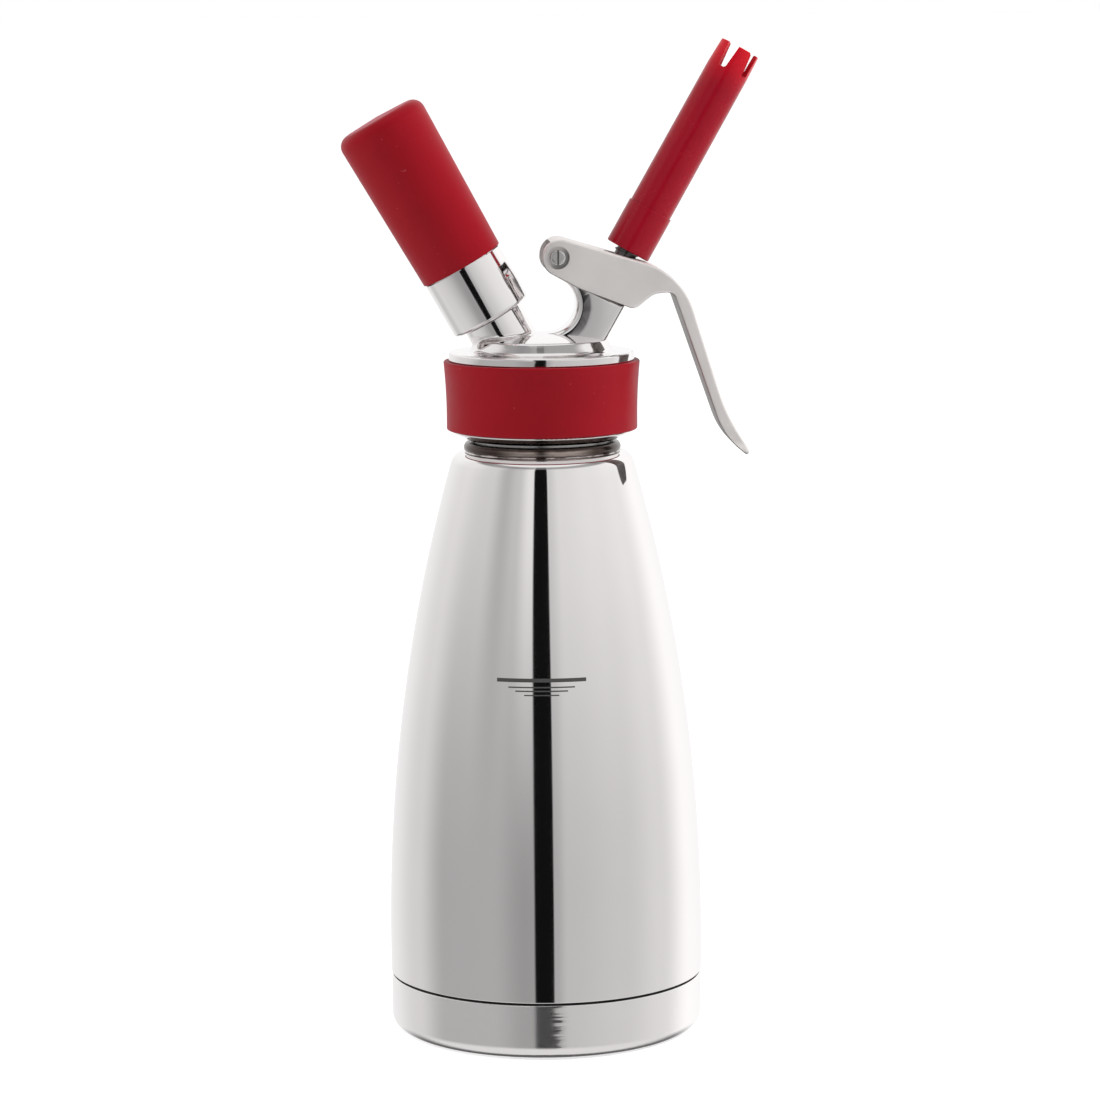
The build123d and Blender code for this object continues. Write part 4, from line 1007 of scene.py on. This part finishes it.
# Bearing in degrees and grey level of the light that the polished wall shows, low and high
LOW_LIGHT = (
    (-180, 232), (-150, 225), (-110, 204), (-80, 164), (-40, 166), (-15, 147),
    (8, 165), (16, 184), (60, 194), (95, 210), (130, 247), (180, 232),
)
HIGH_LIGHT = (
    (-180, 242), (-150, 238), (-110, 224), (-65, 203), (-45, 173), (-30, 189), (-15, 221),
    (8, 197), (20, 214), (60, 223), (95, 232), (130, 249), (180, 242),
)
STEEL_REFLECTION = 0.82
WALL_SPAN = (math.radians(-10), math.radians(24))
FLAG_LEVEL = 0.006
FLAG_LEFT = math.radians(-8.3)
FLAG_LEFT_LEAN = math.radians(-2.2)
FLAG_RIGHT = math.radians(5.7)
FLAG_SOFTNESS = math.radians(0.9)
GAP_LEVEL = 0.26
GAP_FRONT_SHARE = 0.75
GAP_EDGE = (math.radians(38), math.radians(46))
GAP_SIDES = (math.radians(80), math.radians(110))
OVERHEAD_LEVEL = 0.95
OVERHEAD_EDGE = (math.radians(54), math.radians(62))
UNDER_LEVEL = 0.8
UNDER_EDGE = (math.radians(-20), math.radians(-40))
SHADOW_LEVEL = 0.1
SHADOW_SIDES = (math.radians(100), math.radians(150))


def linear(level):
    """A grey level on the usual display scale as linear light."""
    share = level / DISPLAY_WHITE
    return share / 12.92 if share <= 0.04045 else ((share + 0.055) / 1.055) ** 2.4


def light_ramp(tree, bearing, stops):
    """Studio brightness round the horizon."""
    ramp = tree.nodes.new("ShaderNodeValToRGB")
    ramp.color_ramp.interpolation = "EASE"
    elements = ramp.color_ramp.elements
    while len(elements) < len(stops):
        elements.new(0.5)
    for element, (degrees, level) in zip(elements, stops):
        element.position = degrees / 360 + 0.5
        grey = linear(level) / STEEL_REFLECTION
        element.color = (grey, grey, grey, 1)
    tree.links.new(bearing, ramp.inputs["Fac"])
    return ramp.outputs["Color"]


def build_studio(stage):
    """A pale studio round the object, with one narrow dark flag behind the camera."""
    world = bpy.data.worlds.new("studio")
    bpy.context.scene.world = world
    world.use_nodes = True
    tree = world.node_tree
    background = tree.nodes["Background"]
    coordinates = tree.nodes.new("ShaderNodeTexCoord")
    across, depth, upward = parts_of(tree, coordinates.outputs["Generated"])
    turn = maths(tree, "ARCTAN2", across, maths(tree, "MULTIPLY", depth, -1.0))
    turn = maths(tree, "WRAP", maths(tree, "SUBTRACT", turn, stage.bearing), math.pi, -math.pi)
    bearing = maths(tree, "MULTIPLY_ADD", turn, 1 / math.tau, 0.5)
    around = maths(tree, "ABSOLUTE", turn)
    height = maths(tree, "ARCSINE", upward)
    rise = soft_step(tree, height, *WALL_SPAN)
    low_light = light_ramp(tree, bearing, LOW_LIGHT)
    high_light = light_ramp(tree, bearing, HIGH_LIGHT)
    light = mixed_colour(tree, rise, low_light, high_light)
    # The dark flag, wider to the left towards its top
    left = maths(tree, "MULTIPLY_ADD", rise, FLAG_LEFT_LEAN, FLAG_LEFT)
    from_left = soft_step(tree, maths(tree, "SUBTRACT", turn, left), -FLAG_SOFTNESS, FLAG_SOFTNESS)
    from_right = maths(tree, "SUBTRACT", FLAG_RIGHT, turn)
    from_right = soft_step(tree, from_right, -FLAG_SOFTNESS / 2, FLAG_SOFTNESS / 2)
    flag = maths(tree, "MULTIPLY", from_left, from_right)
    light = mixed_colour(tree, flag, light, (FLAG_LEVEL,) * 3)
    # A darker gap between the walls and the panel overhead
    above = maths(
        tree, "MULTIPLY",
        soft_step(tree, height, *GAP_EDGE),
        ranged(tree, around, GAP_FRONT_SHARE, 1.0, *GAP_SIDES),
    )
    light = mixed_colour(tree, above, light, (GAP_LEVEL,) * 3)
    panel = soft_step(tree, height, *OVERHEAD_EDGE)
    light = mixed_colour(tree, panel, light, (OVERHEAD_LEVEL,) * 3)
    # The floor as the steel sees it, in shadow behind the object
    shadow = soft_step(tree, around, *SHADOW_SIDES)
    under = mixed_colour(tree, shadow, (UNDER_LEVEL,) * 3, (SHADOW_LEVEL,) * 3)
    light = mixed_colour(tree, soft_step(tree, height, *UNDER_EDGE), light, under)
    path = tree.nodes.new("ShaderNodeLightPath")
    light = mixed_colour(tree, path.outputs["Is Camera Ray"], light, WHITE)
    tree.links.new(light, background.inputs["Color"])


FLOOR_HALF = 60.0
FLOOR_DROP = 0.0002
FLOOR_GLOW = 0.46
FLOOR_SHADE = 0.8


def build_floor():
    """A pale floor that keeps the object's shadow and glows white to the camera."""
    bm = bmesh.new()
    bmesh.ops.create_grid(bm, x_segments=1, y_segments=1, size=FLOOR_HALF)
    bmesh.ops.translate(bm, verts=bm.verts, vec=(0, 0, -FLOOR_DROP))
    mesh = bpy.data.meshes.new("floor")
    bm.to_mesh(mesh)
    bm.free()
    floor = bpy.data.objects.new("floor", mesh)
    bpy.context.scene.collection.objects.link(floor)
    material = bpy.data.materials.new("pale_floor")
    material.use_nodes = True
    tree = material.node_tree
    tree.nodes.remove(tree.nodes["Principled BSDF"])
    path = tree.nodes.new("ShaderNodeLightPath")
    matt = node_of(tree, "ShaderNodeBsdfDiffuse", Color=(FLOOR_SHADE,) * 3 + (1,))
    glow = node_of(tree, "ShaderNodeEmission", Color=(*WHITE, 1))
    strength = maths(tree, "MULTIPLY", path.outputs["Is Camera Ray"], FLOOR_GLOW)
    tree.links.new(strength, glow.inputs["Strength"])
    lit = tree.nodes.new("ShaderNodeAddShader")
    tree.links.new(matt.outputs[0], lit.inputs[0])
    tree.links.new(glow.outputs[0], lit.inputs[1])
    clear = tree.nodes.new("ShaderNodeBsdfTransparent")
    surface = tree.nodes.new("ShaderNodeMixShader")
    tree.links.new(path.outputs["Is Glossy Ray"], surface.inputs[0])
    tree.links.new(lit.outputs[0], surface.inputs[1])
    tree.links.new(clear.outputs[0], surface.inputs[2])
    tree.links.new(surface.outputs[0], tree.nodes["Material Output"].inputs["Surface"])
    mesh.materials.append(material)


# Name, place, size and setting of each lamp
LAMPS = (
    ("key_lamp", (1.2, -0.25, 1.2), 0.6, "key_power"),
    ("fill_lamp", (-1.3, -0.25, 0.75), 0.7, "fill_power"),
)
LAMP_AIM = Vector((0, 0, 0.2))


def build_lamps(stage):
    """Soft lamps for the matt pieces, which the polished steel doesn't show."""
    for name, spot, size, setting in LAMPS:
        light = bpy.data.lights.new(name, "AREA")
        light.size = size
        light.energy = getattr(stage, setting)
        lamp = bpy.data.objects.new(name, light)
        bpy.context.scene.collection.objects.link(lamp)
        lamp.location = spot
        lamp.visible_glossy = False
        lamp.rotation_euler = (LAMP_AIM - Vector(spot)).to_track_quat("-Z", "Y").to_euler()


def build_camera(stage):
    """The camera at the photograph's viewing angle."""
    camera = bpy.data.cameras.new("camera")
    camera.lens = stage.lens
    camera.clip_end = 4 * FLOOR_HALF
    viewer = bpy.data.objects.new("camera", camera)
    bpy.context.scene.collection.objects.link(viewer)
    spot = Vector((0, -stage.distance, stage.height))
    spot.rotate(Matrix.Rotation(stage.bearing, 3, "Z"))
    look = (
        Matrix.Rotation(stage.bearing - stage.yaw, 4, "Z")
        @ Matrix.Rotation(math.pi / 2 - stage.pitch, 4, "X")
        @ Matrix.Rotation(stage.roll, 4, "Z")
    )
    viewer.matrix_world = Matrix.Translation(spot) @ look
    bpy.context.scene.camera = viewer


class SIPHON_OT_stage(bpy.types.Operator):
    """Set up the floor, the studio light and the camera"""

    bl_idname = "siphon.stage"
    bl_label = "Stage"

    def execute(self, context):
        stage = context.scene.siphon_stage
        build_studio(stage)
        build_floor()
        build_lamps(stage)
        build_camera(stage)
        context.scene.view_settings.view_transform = "Standard"
        return {"FINISHED"}


OPERATORS = (
    SIPHON_OT_bottle,
    SIPHON_OT_head,
    SIPHON_OT_charger_holder,
    SIPHON_OT_valve,
    SIPHON_OT_lever,
    SIPHON_OT_tip,
    SIPHON_OT_stage,
)
SETTINGS = {
    "siphon_bottle": SiphonBottle,
    "siphon_head": SiphonHead,
    "siphon_finish": SiphonFinish,
    "siphon_stage": SiphonStage,
}


class SIPHON_PT_panel(bpy.types.Panel):
    """Settings and steps of the siphon"""

    bl_idname = "SIPHON_PT_panel"
    bl_label = "Whipping Siphon"
    bl_space_type = "VIEW_3D"
    bl_region_type = "UI"
    bl_category = "Siphon"

    def draw(self, context):
        for name, group in SETTINGS.items():
            box = self.layout.box()
            for key in group.__annotations__:
                box.prop(getattr(context.scene, name), key)
        for operator in OPERATORS:
            self.layout.operator(operator.bl_idname)


CLASSES = (*SETTINGS.values(), *OPERATORS, SIPHON_PT_panel)


def register():
    """Register the classes and their settings."""
    for kind in CLASSES:
        bpy.utils.register_class(kind)
    for name, group in SETTINGS.items():
        setattr(bpy.types.Scene, name, PointerProperty(type=group))


def unregister():
    """Take the classes and their settings away again."""
    for name in SETTINGS:
        delattr(bpy.types.Scene, name)
    for kind in reversed(CLASSES):
        bpy.utils.unregister_class(kind)


def main():
    """Build every piece and the stage."""
    register()
    bpy.ops.siphon.bottle()
    bpy.ops.siphon.head()
    bpy.ops.siphon.charger_holder()
    bpy.ops.siphon.valve()
    bpy.ops.siphon.lever()
    bpy.ops.siphon.tip()
    bpy.ops.siphon.stage()


if __name__ == "__main__":
    main()
